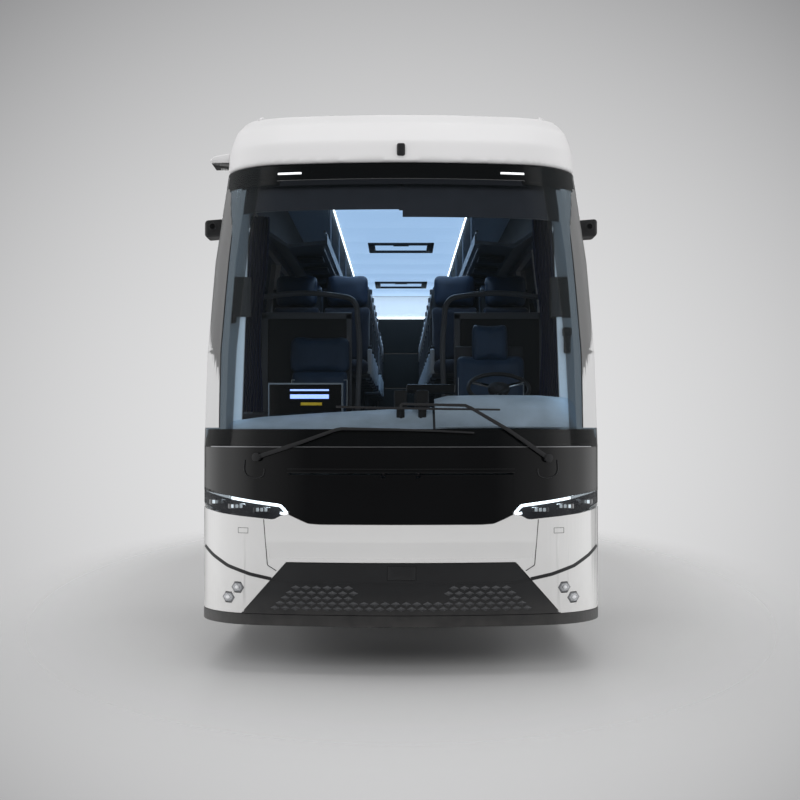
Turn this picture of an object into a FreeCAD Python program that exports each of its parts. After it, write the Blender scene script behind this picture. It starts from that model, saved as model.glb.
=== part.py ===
"""Two-axle high-deck coach, modelled as an assembly of separate solids in millimetres.

The coach faces -Y, its left side is +X, +Z is up, and the origin lies on the ground
below the middle of its length and width.
"""
import FreeCAD, Part
import math
import os

os.makedirs("parts", exist_ok=True)
V = FreeCAD.Vector

# Overall sizes
FRONT_OVERHANG = 2760.0
WHEELBASE = 6050.0
REAR_OVERHANG = 3290.0
WIDTH = 2550.0
SKIRT_Z = 300.0
SCREEN_FOOT_Z = 1394.0
ROOF_Z = 3660.0
ROOF_DEPTH = 470.0
CANT_Z = ROOF_Z - ROOF_DEPTH
WALL = 55.0
SEAM = 5.0
SEAT = 0.3
OVERRUN = 200.0

LENGTH = FRONT_OVERHANG + WHEELBASE + REAR_OVERHANG
FRONT_Y = -LENGTH / 2
REAR_Y = LENGTH / 2
FRONT_AXLE_Y = FRONT_Y + FRONT_OVERHANG
REAR_AXLE_Y = FRONT_AXLE_Y + WHEELBASE
HALF = WIDTH / 2
QUARTER = math.pi / 2
INSIDE = HALF - WALL

# Shape of the body shell
NOSE_RADIUS = 4000.0
NOSE_CORNER_RUN = 375.0
NOSE_FLAT = HALF - NOSE_CORNER_RUN
NOSE_LEAN = math.asin(NOSE_FLAT / NOSE_RADIUS)
NOSE_CORNER = (HALF - NOSE_FLAT) / (1 - math.sin(NOSE_LEAN))
NOSE_RAKE = 270.0
TAIL_CORNER = 260.0
TAIL_RAKE = 110.0
TUMBLEHOME = 122.0
CAP_RUN = 1420.0
TAIL_CAP_RUN = 700.0
CAP_DEPTH = 1350.0
LINING_START = 700.0
LINING_END = 480.0
# Each row: share of the height from windscreen foot to cantrail, then of nose rake, tumblehome and tail rake
GLASS_STATION_SHARES = (
    (0.0, 0.0, 0.0, 0.0),
    (0.34, 0.19, 0.11, 0.23),
    (0.67, 0.52, 0.42, 0.58),
    (1.0, 1.0, 1.0, 1.0),
)
# Each row: height in roof heights, then shares of the front cap's run and the tail cap's run
CAP_STATION_SHARES = (
    (0.868, 0.170, 0.17),
    (0.912, 0.215, 0.22),
    (0.952, 0.320, 0.33),
    (0.980, 0.480, 0.50),
    (0.998, 0.700, 0.74),
    (1.014, 1.0, 1.0),
)
# Half of the roof outline, in half widths and roof heights
SHOULDER_SHARES = ((0.8980, 0.8716), (0.8850, 0.9208), (0.8361, 0.9672))
RAIL_SHARES = ((0.7725, 0.9918), (0.7490, 0.9959), (0.7294, 0.9850))
LINING_SHARES = ((0.8549, 0.8716), (0.8400, 0.9180), (0.7880, 0.9560), (0.7294, 0.9686))
LINING_CROWN_SHARE = 0.984

# Wheels and axles
TYRE_RADIUS = 522.0
TYRE_WIDTH = 298.0
TYRE_SHOULDER = 40.0
RIM_RADIUS = 286.0
RIM_FLANGE = 16.0
RIM_SKIN = 12.0
TYRE_FACE_INSET = 30.0
TWIN_PITCH = 335.0
ARCH_RADIUS = 612.0
KINGPIN_INSET = 161.0
KINGPIN_RADIUS = 35.0
HUB_RADIUS = 140.0
HUB_BORE = 60.0
BEAM_DROP = 90.0
WHEEL_Z = TYRE_RADIUS
TYRE_X = HALF - TYRE_FACE_INSET - TYRE_WIDTH / 2
KINGPIN_X = TYRE_X - KINGPIN_INSET

# Floors and stairs
BAY_FLOOR_Z = 380.0
PLATE = 40.0
COCKPIT_Z = 1000.0
AISLE_Z = 1450.0
PODIUM_Z = 1620.0
AISLE_HALF = 225.0
BULKHEAD_GAP = 80.0
BAY_FRONT_Y = FRONT_AXLE_Y + ARCH_RADIUS + BULKHEAD_GAP
BAY_REAR_Y = REAR_AXLE_Y - ARCH_RADIUS - BULKHEAD_GAP
COCKPIT_DEPTH = 2250.0
COCKPIT_REAR_Y = FRONT_Y + COCKPIT_DEPTH
STAIR_WIDTH = 740.0
STAIR_X = INSIDE - STAIR_WIDTH

# Doors
DOOR_FOOT_Z = 335.0
FRONT_DOOR_BACK = 800.0
FRONT_DOOR_Y = FRONT_Y + FRONT_DOOR_BACK
FRONT_DOOR_WIDTH = 920.0
FRONT_DOOR_TOP = 2700.0
MID_DOOR_WIDTH = 900.0
MID_DOOR_TOP = 2280.0
MID_DOOR_REAR_Y = BAY_REAR_Y
MID_DOOR_Y = MID_DOOR_REAR_Y - MID_DOOR_WIDTH
DOOR_SEAL = 24.0
DOOR_GAP = 8.0
DOOR_GLASS_SILL = 760.0
DOOR_GLASS_SPLIT_Z = 1250.0
DOOR_UPPER_SILL_Z = 1660.0
DOOR_STILE = 80.0
ARM_LENGTH = 500.0
ARM_RADIUS = 18.0
COLUMN_RADIUS = 26.0
COLUMN_INSET = 170.0
COLUMN_X = HALF - COLUMN_INSET

# Side windows and flaps
WINDOW_SILL_Z = 2000.0
WINDOW_HEAD_BELOW = 150.0
WINDOW_HEAD_Z = CANT_Z - WINDOW_HEAD_BELOW
PILLAR = 70.0
GLASS = 9.0
CAB_WINDOW_SILL_Z = 1400.0
CAB_WINDOW_HEAD_Z = 2700.0
DOOR_POST = 110.0
TAIL_POST = 560.0
WINDOW_START_Y = FRONT_DOOR_Y + FRONT_DOOR_WIDTH + DOOR_POST
WINDOW_END_Y = REAR_Y - TAIL_POST
FLAP_TOP_Z = 1250.0
FLAP_FOOT_Z = 345.0
FLAP_GAP = 10.0
LEFT_FLAPS = 3
RIGHT_FLAPS = 2
FLAP_MARGIN = 20.0
HINGE_INSET = 9.0
HINGE_RADIUS = 5.0
RUNNING_GAP = 0.8
LEFT_PANES = 6
RIGHT_FRONT_PANES = 4
RIGHT_REAR_PANES = 2

# Rear wall
LID_SIDE = 475.0
LID_HALF = HALF - LID_SIDE
LID_FOOT_Z = 640.0
LID_TOP_Z = 1380.0
LOUVRE_MARGIN = 120.0
LOUVRE_COUNT = 6
LOUVRE_SIDE = 240.0
LOUVRE_HALF = LID_HALF - LOUVRE_SIDE
LOUVRE_SLOT = 45.0
TAIL_WINDOW_SIDE = 425.0
TAIL_WINDOW_HALF = HALF - TAIL_WINDOW_SIDE
TAIL_LAMP_INSET = 345.0
TAIL_LAMP_X = HALF - TAIL_LAMP_INSET
TAIL_LAMP_WIDTH = 170.0
TAIL_LAMP_FOOT_Z = 820.0
TAIL_LAMP_TOP_Z = 1350.0


def box(x0, y0, z0, x1, y1, z1):
    """Box between two opposite corners given low corner first."""
    return Part.makeBox(x1 - x0, y1 - y0, z1 - z0, V(x0, y0, z0))


def rod(start, end, radius):
    """Round bar between two points."""
    run = end - start
    return Part.makeCylinder(radius, run.Length, start, run)


def polygon_face(points):
    """Flat face inside a closed outline of points."""
    return Part.Face(Part.makePolygon(list(points) + [points[0]]))


def front_prism(outline, y0, y1):
    """Solid whose outline is drawn in front view, from y0 to y1."""
    return polygon_face([V(x, y0, z) for x, z in outline]).extrude(V(0, y1 - y0, 0))


def side_prism(outline, x0, x1):
    """Solid whose outline is drawn in side view, from x0 to x1."""
    return polygon_face([V(x0, y, z) for y, z in outline]).extrude(V(x1 - x0, 0, 0))


def grown_front_prism(outline, gap, y0, y1):
    """Front-view solid with a gap added all round its outline."""
    face = polygon_face([V(x, y0, z) for x, z in outline])
    return face.makeOffset2D(gap, join=2).extrude(V(0, y1 - y0, 0))


def mirrored(shape):
    """Copy of a shape on the other side of the coach."""
    return shape.mirror(V(0, 0, 0), V(1, 0, 0))


def both(shape):
    """A shape and its mirror image."""
    return [shape, mirrored(shape)]


def joined(shapes):
    """One solid made of touching shapes."""
    return shapes[0].fuse(shapes[1:]).removeSplitter()


def butted(parts, others=()):
    """Solids that meet without overlap, each one cut back from those before it and from other pieces."""
    placed = list(others)
    result = []
    for part in parts:
        for earlier in placed:
            if part.BoundBox.intersect(earlier.BoundBox):
                part = part.cut(earlier)
        placed += part.Solids
        result += part.Solids
    return result


def pieces_of(shapes):
    """Flat list of the solids in a list of shapes."""
    return [solid for shape in shapes for solid in shape.Solids]


def export(name, shapes):
    """Write the solids of one sub-part to its STEP file."""
    solids = pieces_of(shapes)
    shape = solids[0] if len(solids) == 1 else Part.makeCompound(solids)
    shape.exportStep("parts/" + name + ".step")
    print(name, len(solids), "solids", round(sum(s.Volume for s in solids) / 1e9, 4), "m3")


def arc(start, middle, end):
    """Edge of a circle through three points."""
    return Part.Arc(start, middle, end).toShape()


def stations(z):
    """Nose setback, half width and tail setback of the shell at one height."""
    up = max(0.0, (z - SCREEN_FOOT_Z) / (CANT_Z - SCREEN_FOOT_Z))
    for low, high in zip(GLASS_STATION_SHARES, GLASS_STATION_SHARES[1:]):
        if up <= high[0] or high[0] == 1.0:
            part = (up - low[0]) / (high[0] - low[0])
            nose, tumble, tail = [a + (b - a) * part for a, b in zip(low[1:], high[1:])]
            return nose * NOSE_RAKE, HALF - tumble * TUMBLEHOME, tail * TAIL_RAKE


def station_heights(z0, z1):
    """Heights between z0 and z1 at which the shell changes slope, with both ends."""
    rise = CANT_Z - SCREEN_FOOT_Z
    inner = [SCREEN_FOOT_Z + row[0] * rise for row in GLASS_STATION_SHARES]
    return [z0] + [z for z in inner if z0 < z < z1] + [z1]


def nose_sag(half):
    """How far the ends of the nose arc lie behind its tip."""
    return NOSE_RADIUS - math.sqrt(NOSE_RADIUS ** 2 - (half - HALF + NOSE_FLAT) ** 2)


def corner_end(z):
    """Length position at which the front corner runs into the flat side."""
    nose, half = stations(z)[:2]
    return FRONT_Y + nose + nose_sag(half) + NOSE_CORNER * math.cos(NOSE_LEAN)


def nose_point(z, nose_back, half, inset, angle, side):
    """Point of the front corner arc, whose angle turns from the nose to the side."""
    radius = NOSE_CORNER - inset
    corner_y = FRONT_Y + nose_back + nose_sag(half) + NOSE_CORNER * math.cos(NOSE_LEAN)
    return V(side * (half - NOSE_CORNER + radius * math.sin(angle)), corner_y - radius * math.cos(angle), z)


def tail_point(z, tail_back, half, inset, angle, side):
    """Point of the rear corner arc, whose angle turns from the tail to the side."""
    radius = TAIL_CORNER - inset
    corner_y = REAR_Y - tail_back - TAIL_CORNER
    return V(side * (half - TAIL_CORNER + radius * math.sin(angle)), corner_y + radius * math.cos(angle), z)


def nose_edges(z, nose_back, half, inset):
    """Left corner, nose and right corner arcs at one height."""
    middle = (NOSE_LEAN + QUARTER) / 2
    left = [nose_point(z, nose_back, half, inset, angle, -1) for angle in (QUARTER, middle, NOSE_LEAN)]
    right = [nose_point(z, nose_back, half, inset, angle, 1) for angle in (NOSE_LEAN, middle, QUARTER)]
    tip = V(0, FRONT_Y + nose_back + inset, z)
    return [arc(*left), arc(left[2], tip, right[0]), arc(*right)], left[0], right[2]


def tail_edges(z, tail_back, half, inset):
    """Right corner, tail and left corner edges at one height."""
    angles = (QUARTER, QUARTER / 2, 0)
    right = [tail_point(z, tail_back, half, inset, angle, 1) for angle in angles]
    left = [tail_point(z, tail_back, half, inset, angle, -1) for angle in reversed(angles)]
    return [arc(*right), Part.makeLine(right[2], left[0]), arc(*left)], right[0], left[2]


def crescent(z0, z1, near, far, edges, back):
    """Curved wall between two insets and two heights, at the nose or at the tail."""
    wires = []
    for z in station_heights(z0, z1):
        nose, half, tail = stations(z)
        setback = tail if back else nose
        outer, start, end = edges(z, setback, half, near)
        inner, inner_start, inner_end = edges(z, setback, half, far)
        ends = [Part.makeLine(end, inner_end), Part.makeLine(inner_start, start)]
        wires.append(Part.Wire(Part.__sortEdges__(outer + [ends[0]] + inner + [ends[1]])))
    if len(wires) == 2 and z1 <= SCREEN_FOOT_Z:
        return Part.Face(wires[0]).extrude(V(0, 0, z1 - z0))
    return Part.makeLoft(wires, True, True)


def nose_wall(z0, z1, near=0.0, far=WALL):
    """Curved front wall from side to side between two heights."""
    return crescent(z0, z1, near, far, nose_edges, False)


def tail_wall_form(z0, z1, near=0.0, far=WALL):
    """Curved rear wall from side to side between two heights."""
    return crescent(z0, z1, near, far, tail_edges, True)


def corner_post(side, z0, z1, near, far):
    """Upright of the front corner, from its post angle to the side."""
    wires = []
    middle = (POST_START + QUARTER) / 2
    for z in station_heights(z0, z1):
        nose, half = stations(z)[:2]
        outer = [nose_point(z, nose, half, near, angle, side) for angle in (POST_START, middle, QUARTER)]
        inner = [nose_point(z, nose, half, far, angle, side) for angle in (QUARTER, middle, POST_START)]
        wires.append(Part.Wire([arc(*outer), Part.makeLine(outer[2], inner[0]), arc(*inner),
                                Part.makeLine(inner[2], outer[0])]))
    return Part.makeLoft(wires, True, True)


def side_section(side, near, far, z0=SKIRT_Z, z1=CANT_Z):
    """Front-view outline of one side wall between two insets."""
    heights = station_heights(z0, z1)
    outer = [(side * (stations(z)[1] - near), z) for z in heights]
    inner = [(side * (stations(z)[1] - far), z) for z in reversed(heights)]
    return outer + inner


def side_slab(side, y0, y1, near=0.0, far=WALL, z0=SKIRT_Z, z1=CANT_Z):
    """Straight stretch of side wall between two lengths."""
    return front_prism(side_section(side, near, far, z0, z1), y0, y1)


def cap_wire(up, nose, tail):
    """Closed plan outline of the roof zone at one height."""
    half = HALF - TUMBLEHOME
    z = up * ROOF_Z
    front, front_start, front_end = nose_edges(z, nose * CAP_RUN, half, 0)
    rear, rear_start, rear_end = tail_edges(z, tail * TAIL_CAP_RUN, half, 0)
    sides = [Part.makeLine(front_end, rear_start), Part.makeLine(rear_end, front_start)]
    return Part.Wire(front + [sides[0]] + rear + [sides[1]])


def cap_form():
    """Roof zone as seen in side view and plan."""
    return Part.makeLoft([cap_wire(*row) for row in CAP_STATION_SHARES], True, True)


def section_points(shares, side):
    """Points of the roof section on one side."""
    return [V(side * across * HALF, FRONT_Y - OVERRUN, up * ROOF_Z) for across, up in shares]


def roof_section():
    """Outer cross-section of the roof: shoulders, rails and crown."""
    left = section_points(SHOULDER_SHARES, -1)
    right = section_points(SHOULDER_SHARES, 1)
    left_rail = section_points(RAIL_SHARES, -1)
    right_rail = section_points(RAIL_SHARES, 1)
    crown = V(0, FRONT_Y - OVERRUN, ROOF_Z)
    wire = Part.Wire([
        Part.Arc(left[0], left[1], left[2]).toShape(),
        Part.makeLine(left[2], left_rail[0]),
        Part.makeLine(left_rail[0], left_rail[1]),
        Part.makeLine(left_rail[1], left_rail[2]),
        Part.Arc(left_rail[2], crown, right_rail[2]).toShape(),
        Part.makeLine(right_rail[2], right_rail[1]),
        Part.makeLine(right_rail[1], right_rail[0]),
        Part.makeLine(right_rail[0], right[2]),
        Part.Arc(right[2], right[1], right[0]).toShape(),
        Part.makeLine(right[0], left[0]),
    ])
    return Part.Face(wire).extrude(V(0, LENGTH + 2 * OVERRUN, 0))


def lining_section():
    """Inner cross-section of the roof."""
    left = section_points(LINING_SHARES, -1)
    right = section_points(LINING_SHARES, 1)
    crown = V(0, FRONT_Y - OVERRUN, LINING_CROWN_SHARE * ROOF_Z)
    wire = Part.Wire([
        Part.makeLine(left[0], left[1]),
        Part.makeLine(left[1], left[2]),
        Part.makeLine(left[2], left[3]),
        Part.Arc(left[3], crown, right[3]).toShape(),
        Part.makeLine(right[3], right[2]),
        Part.makeLine(right[2], right[1]),
        Part.makeLine(right[1], right[0]),
        Part.makeLine(right[0], left[0]),
    ])
    return Part.Face(wire).extrude(V(0, LENGTH + 2 * OVERRUN, 0))


def span(y0, y1, z0, z1):
    """Box right across the coach between two lengths and two heights."""
    return box(-HALF - OVERRUN, y0, z0, HALF + OVERRUN, y1, z1)


# Front features: outlines in front view as shares of the half width and of the roof height
LIP_TOP_Z = 367.0
INSERT_FOOT_Z = 371.0
FLAP_THICK = 30.0
FLAP_SIDE_GAP = 8.0
FRONT_LUG_X = 100.0
FRONT_LUG_THICK = 12.0
FRONT_LUG_CLEAR = 6.0
SCREEN_SILL = 60.0
SCREEN_HEADER = 130.0
POST_START = math.radians(48.0)
GROOVE_Z = 1245.0
PANEL_SPLIT_Z = 922.0
INSERT_OUTLINE_SHARES = ((-0.775, 0.0991), (-0.551, 0.1874), (0.551, 0.1874), (0.775, 0.0991))
FLAP_OUTLINE_SHARES = (
    (-0.522, 0.3370), (0.522, 0.3370), (0.520, 0.2870), (0.518, 0.2700),
    (0.595, 0.2570), (0.645, 0.2540), (0.628, 0.1970), (-0.628, 0.1970),
    (-0.645, 0.2540), (-0.595, 0.2570), (-0.518, 0.2700), (-0.520, 0.2870),
)
LAMP_OUTLINE_SHARES = (
    (0.537, 0.2710), (0.612, 0.2593), (0.872, 0.2678), (1.1, 0.2814),
    (1.1, 0.3093), (0.827, 0.2978), (0.712, 0.2918), (0.577, 0.2850),
)
HEX_LAMP_PLACES = ((265.0, 528.0), (204.0, 463.0))
HEX_LAMP_RADIUS = 40.0
GROOVE_SIDE = 559.0
GROOVE_HALF = HALF - GROOVE_SIDE
GROOVE_HEIGHT = 37.0
GROOVE_DEPTH = 25.0
LAMP_REACH = 560.0


def scaled(shares):
    """Front-view outline in millimetres from shares of the half width and roof height."""
    return [(across * HALF, up * ROOF_Z) for across, up in shares]


def flipped(outline):
    """Front-view outline on the other side."""
    return [(-x, z) for x, z in reversed(outline)]


def hexagon(centre, radius):
    """Front-view hexagon with a flat top."""
    return [
        (centre[0] + radius * math.cos(k * math.pi / 3), centre[1] + radius * math.sin(k * math.pi / 3))
        for k in range(6)
    ]


def groove_outline():
    """Front-view outline of the dark groove above the lid."""
    top = GROOVE_Z + GROOVE_HEIGHT / 2
    foot = GROOVE_Z - GROOVE_HEIGHT / 2
    return [(-GROOVE_HALF, foot), (GROOVE_HALF, foot), (GROOVE_HALF, top), (-GROOVE_HALF, top)]


def front_hinge(radius, clear):
    """Bar and two lugs that carry the front lid, or with some clearance the space they need in it."""
    y = FRONT_Y + HINGE_INSET
    z = FLAP_OUTLINE_SHARES[0][1] * ROOF_Z - HINGE_INSET
    reach = FRONT_LUG_X + FRONT_LUG_THICK
    parts = [rod(V(-reach, y, z), V(reach, y, z), radius)]
    top = GROOVE_Z + GROOVE_HEIGHT / 2
    for x in (-reach, FRONT_LUG_X):
        parts.append(box(x - clear, y - radius - clear, z - radius - clear, x + FRONT_LUG_THICK + clear,
                         y + radius + clear, top))
    return joined(parts)


def front_pieces():
    """Mask, lid panels, lamps, insert, lip and hexagonal lamps of the lower front."""
    y0 = FRONT_Y - OVERRUN
    y1 = corner_end(SKIRT_Z) + OVERRUN
    lip = nose_wall(SKIRT_Z, LIP_TOP_Z)
    rest = nose_wall(INSERT_FOOT_Z, SCREEN_FOOT_Z)
    insert_outline = scaled(INSERT_OUTLINE_SHARES)
    insert = rest.common(front_prism(insert_outline, y0, y1))
    rest = rest.cut(grown_front_prism(insert_outline, SEAM, y0, y1))
    lid_outline = scaled(FLAP_OUTLINE_SHARES)
    lid = nose_wall(INSERT_FOOT_Z, SCREEN_FOOT_Z, 0, FLAP_THICK).common(front_prism(lid_outline, y0, y1))
    rest = rest.cut(grown_front_prism(lid_outline, FLAP_SIDE_GAP, y0, y1))
    rest = rest.cut(front_prism(groove_outline(), y0, FRONT_Y + nose_sag(HALF) + GROOVE_DEPTH))
    rest = rest.fuse(front_hinge(HINGE_RADIUS, 0.0))
    lid = lid.cut(front_hinge(HINGE_RADIUS + RUNNING_GAP, FRONT_LUG_CLEAR))
    upper = lid.common(span(y0, y1, PANEL_SPLIT_Z + SEAT, CANT_Z))
    lower = lid.common(span(y0, y1, SKIRT_Z, PANEL_SPLIT_Z))
    lamps = []
    for outline in (scaled(LAMP_OUTLINE_SHARES), flipped(scaled(LAMP_OUTLINE_SHARES))):
        lamps.append(rest.common(front_prism(outline, y0, FRONT_Y + LAMP_REACH)))
        rest = rest.cut(grown_front_prism(outline, SEAT, y0, FRONT_Y + LAMP_REACH + SEAT))
    spots = []
    for side in (-1, 1):
        for inset, z in HEX_LAMP_PLACES:
            place = (side * (HALF - inset), z)
            spots.append(rest.common(front_prism(hexagon(place, HEX_LAMP_RADIUS - SEAT), y0, y1)))
            rest = rest.cut(front_prism(hexagon(place, HEX_LAMP_RADIUS), y0, y1))
    return {"lip": lip, "insert": insert, "upper": upper, "lower": lower, "mask": rest,
            "lamps": lamps, "spots": spots}


def screen_frame():
    """Sill, header and corner posts of the windscreen, behind the glass."""
    behind = GLASS + SEAT
    sill = nose_wall(SCREEN_FOOT_Z, SCREEN_FOOT_Z + SCREEN_SILL, behind)
    header = nose_wall(CANT_Z - SCREEN_HEADER, CANT_Z, behind)
    posts = [corner_post(side, SCREEN_FOOT_Z + SCREEN_SILL, CANT_Z - SCREEN_HEADER, behind, WALL)
             for side in (-1, 1)]
    return sill.fuse([header] + posts)


def windscreen():
    """Curved glass from the sill to the cap, wrapped round both corners."""
    return nose_wall(SCREEN_FOOT_Z + SEAT, CANT_Z - SEAT, 0, GLASS)


def window_bays(side):
    """Front and rear ends of each passenger pane on one side, front first."""
    if side > 0:
        spans = [(WINDOW_START_Y, WINDOW_END_Y, LEFT_PANES)]
    else:
        spans = [
            (WINDOW_START_Y, MID_DOOR_Y - PILLAR, RIGHT_FRONT_PANES),
            (MID_DOOR_Y, MID_DOOR_REAR_Y, 1),
            (MID_DOOR_REAR_Y + PILLAR, WINDOW_END_Y, RIGHT_REAR_PANES),
        ]
    bays = []
    for start, end, count in spans:
        pitch = (end - start + PILLAR) / count
        bays += [(start + k * pitch, start + (k + 1) * pitch - PILLAR) for k in range(count)]
    return bays


def side_box(side, y0, y1, z0, z1, x0=0.0, x1=HALF + OVERRUN):
    """Box on one side of the coach, from x0 outwards to x1."""
    low, high = (x0, x1) if side > 0 else (-x1, -x0)
    return box(low, y0, z0, high, y1, z1)


def window_openings(side):
    """Boxes cut through one side wall for its panes."""
    boxes = [side_box(side, FRONT_DOOR_Y, FRONT_DOOR_Y + FRONT_DOOR_WIDTH, CAB_WINDOW_SILL_Z,
                      CAB_WINDOW_HEAD_Z)] if side > 0 else []
    for y0, y1 in window_bays(side):
        over_door = side < 0 and y0 == MID_DOOR_Y
        sill = MID_DOOR_TOP + PILLAR if over_door else WINDOW_SILL_Z
        boxes.append(side_box(side, y0, y1, sill, WINDOW_HEAD_Z))
    return boxes


def shrunk(block, gap):
    """Box moved inwards by a gap in length and height."""
    b = block.BoundBox
    return box(b.XMin, b.YMin + gap, b.ZMin + gap, b.XMax, b.YMax - gap, b.ZMax - gap)


def side_glass(side):
    """Panes of one side, flush with the outer skin."""
    panes = []
    for opening in window_openings(side):
        b = shrunk(opening, SEAT).BoundBox
        panes.append(side_slab(side, b.YMin, b.YMax, 0, GLASS, b.ZMin, b.ZMax))
    return panes


def door_spans():
    """Front edge, rear edge and top of the two doorways."""
    return (
        (FRONT_DOOR_Y, FRONT_DOOR_Y + FRONT_DOOR_WIDTH, FRONT_DOOR_TOP),
        (MID_DOOR_Y, MID_DOOR_REAR_Y, MID_DOOR_TOP),
    )


def flap_spans(side):
    """Front and rear edges of the luggage flaps on one side."""
    count = LEFT_FLAPS if side > 0 else RIGHT_FLAPS
    start = BAY_FRONT_Y + FLAP_MARGIN
    end = (BAY_REAR_Y if side > 0 else MID_DOOR_Y) - FLAP_MARGIN
    pitch = (end - start) / count
    return [(start + k * pitch + FLAP_GAP / 2, start + (k + 1) * pitch - FLAP_GAP / 2) for k in range(count)]


def arches():
    """Round cut-outs over the four wheel positions, right across the coach."""
    cuts = []
    for y in (FRONT_AXLE_Y, REAR_AXLE_Y):
        cuts.append(rod(V(-HALF - OVERRUN, y, WHEEL_Z), V(HALF + OVERRUN, y, WHEEL_Z), ARCH_RADIUS))
    return cuts


def side_wall(side):
    """One side wall with its arches, doorways, flap openings and windows cut."""
    heights = station_heights(SKIRT_Z, CANT_Z)
    start_y = corner_end(SKIRT_Z)
    wall = side_slab(side, start_y, REAR_Y)
    front_seam = [(corner_end(z) + SEAM, z) for z in heights]
    rear_seam = [(REAR_Y - TAIL_CORNER - stations(z)[2] - SEAM, z) for z in reversed(heights)]
    wall = wall.common(side_prism(front_seam + rear_seam, -HALF - OVERRUN, HALF + OVERRUN))
    cuts = arches() + window_openings(side)
    cuts += [side_box(side, y0 - FLAP_GAP / 2, y1 + FLAP_GAP / 2, SKIRT_Z - OVERRUN, FLAP_TOP_Z + SEAM)
             for y0, y1 in flap_spans(side)]
    if side < 0:
        cuts += [side_box(side, y0, y1, SKIRT_Z - OVERRUN, top) for y0, y1, top in door_spans()]
    for cut in cuts:
        wall = wall.cut(cut)
    spans = flap_spans(side)
    return wall.fuse(flap_hinge(side, spans[0][0] - FLAP_GAP / 2, spans[-1][1] + FLAP_GAP / 2, HINGE_RADIUS))


def flap_hinge(side, y0, y1, radius):
    """Round bar on the turning axis of the luggage flaps."""
    x = side * (HALF - HINGE_INSET)
    z = FLAP_TOP_Z - HINGE_INSET
    return rod(V(x, y0, z), V(x, y1, z), radius)


def luggage_flap(side, y0, y1):
    """One skirt panel, bored for the bar it hangs on."""
    panel = side_slab(side, y0, y1, 0, WALL, FLAP_FOOT_Z, FLAP_TOP_Z)
    return panel.cut(flap_hinge(side, y0, y1, HINGE_RADIUS + RUNNING_GAP))


def tail_pieces():
    """Rear wall with its window and lid openings, and the lamps let into its corners."""
    lower = tail_wall_form(SKIRT_Z, SCREEN_FOOT_Z)
    upper = tail_wall_form(SCREEN_FOOT_Z, CANT_Z)
    lamps = []
    for side in (-1, 1):
        zone = side_box(side, REAR_Y - TAIL_CORNER, REAR_Y + OVERRUN, TAIL_LAMP_FOOT_Z, TAIL_LAMP_TOP_Z,
                        TAIL_LAMP_X, TAIL_LAMP_X + TAIL_LAMP_WIDTH)
        lamps.append(lower.common(shrunk(zone, SEAT)))
        lower = lower.cut(zone)
    wall = lower.cut(lid_box(0.0)).fuse([upper.cut(tail_window_box(0.0)), lid_hinge(HINGE_RADIUS)])
    return wall, lamps


def lid_hinge(radius):
    """Round bar on the turning axis of the engine lid."""
    y = REAR_Y - HINGE_INSET
    z = LID_TOP_Z - FLAP_GAP / 2 - HINGE_INSET
    return rod(V(-LID_HALF, y, z), V(LID_HALF, y, z), radius)


def lid_box(gap):
    """Opening of the engine lid, made smaller by a gap."""
    return box(-LID_HALF + gap, REAR_Y - TAIL_CORNER, LID_FOOT_Z + gap, LID_HALF - gap, REAR_Y + OVERRUN,
               LID_TOP_Z - gap)


def tail_window_box(gap):
    """Opening of the rear window, made smaller by a gap."""
    return box(-TAIL_WINDOW_HALF + gap, REAR_Y - TAIL_CORNER - TAIL_RAKE, WINDOW_SILL_Z + gap,
               TAIL_WINDOW_HALF - gap, REAR_Y + OVERRUN, WINDOW_HEAD_Z - gap)


def tail_glass():
    """Rear window pane, flush with the outer skin."""
    return tail_wall_form(WINDOW_SILL_Z + SEAT, WINDOW_HEAD_Z - SEAT, 0, GLASS).common(tail_window_box(SEAT))


def engine_lid():
    """Rear lid with louvre slots."""
    lid = tail_wall_form(SKIRT_Z, SCREEN_FOOT_Z).common(lid_box(FLAP_GAP / 2))
    pitch = (LID_TOP_Z - LID_FOOT_Z - 2 * LOUVRE_MARGIN) / LOUVRE_COUNT
    for k in range(LOUVRE_COUNT):
        z = LID_FOOT_Z + LOUVRE_MARGIN + k * pitch
        slot = box(-LOUVRE_HALF, REAR_Y - TAIL_CORNER, z, LOUVRE_HALF, REAR_Y + OVERRUN, z + LOUVRE_SLOT)
        lid = lid.cut(slot)
    return lid.cut(lid_hinge(HINGE_RADIUS + RUNNING_GAP))


def roof_pieces():
    """Front cap and main roof, cut from one shell."""
    solid = cap_form().common(roof_section())
    cavity = lining_section().common(box(-HALF, FRONT_Y + LINING_START, CANT_Z - OVERRUN, HALF,
                                         REAR_Y - LINING_END, ROOF_Z))
    shell = solid.cut(cavity).common(span(FRONT_Y, REAR_Y, CANT_Z, ROOF_Z + OVERRUN))
    cap_y = FRONT_Y + CAP_DEPTH
    cap = shell.common(span(FRONT_Y, cap_y - SEAM, CANT_Z, ROOF_Z + OVERRUN))
    roof = shell.common(span(cap_y, REAR_Y, CANT_Z, ROOF_Z + OVERRUN))
    return cap, roof


# Running gear, chassis and floors
RAIL_INSET = 666.0
RAIL_X = TYRE_X - RAIL_INSET
RAIL_WIDTH = 80.0
RAIL_Z = 640.0
RAIL_HEIGHT = 160.0
CROSS = 70.0
NOSE_CROSS_BACK = 330.0
TAIL_CROSS_BACK = 260.0
SPRING_RADIUS = 110.0
REAR_RAIL_RISE = 160.0
TUBE_RADIUS = 85.0
DIFF_RADIUS = 200.0
DIFF_HALF = 240.0
SHAFT_BORE = 20.0
KNUCKLE_HEIGHT = 190.0
DISC = 14.0
HAND_HOLES = 10
HAND_CIRCLE = 207.0
HAND_RADIUS = 28.0
DISC_OFFSET = 60.0
STUB_RADIUS = 55.0
HUB_STAND = 75.0
KNUCKLE_RADIUS = 60.0
BEAM_DEPTH = 110.0
BEAM_HEIGHT = 110.0
FORK_INSET = 110.0
FORK_PLATE = 35.0
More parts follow.
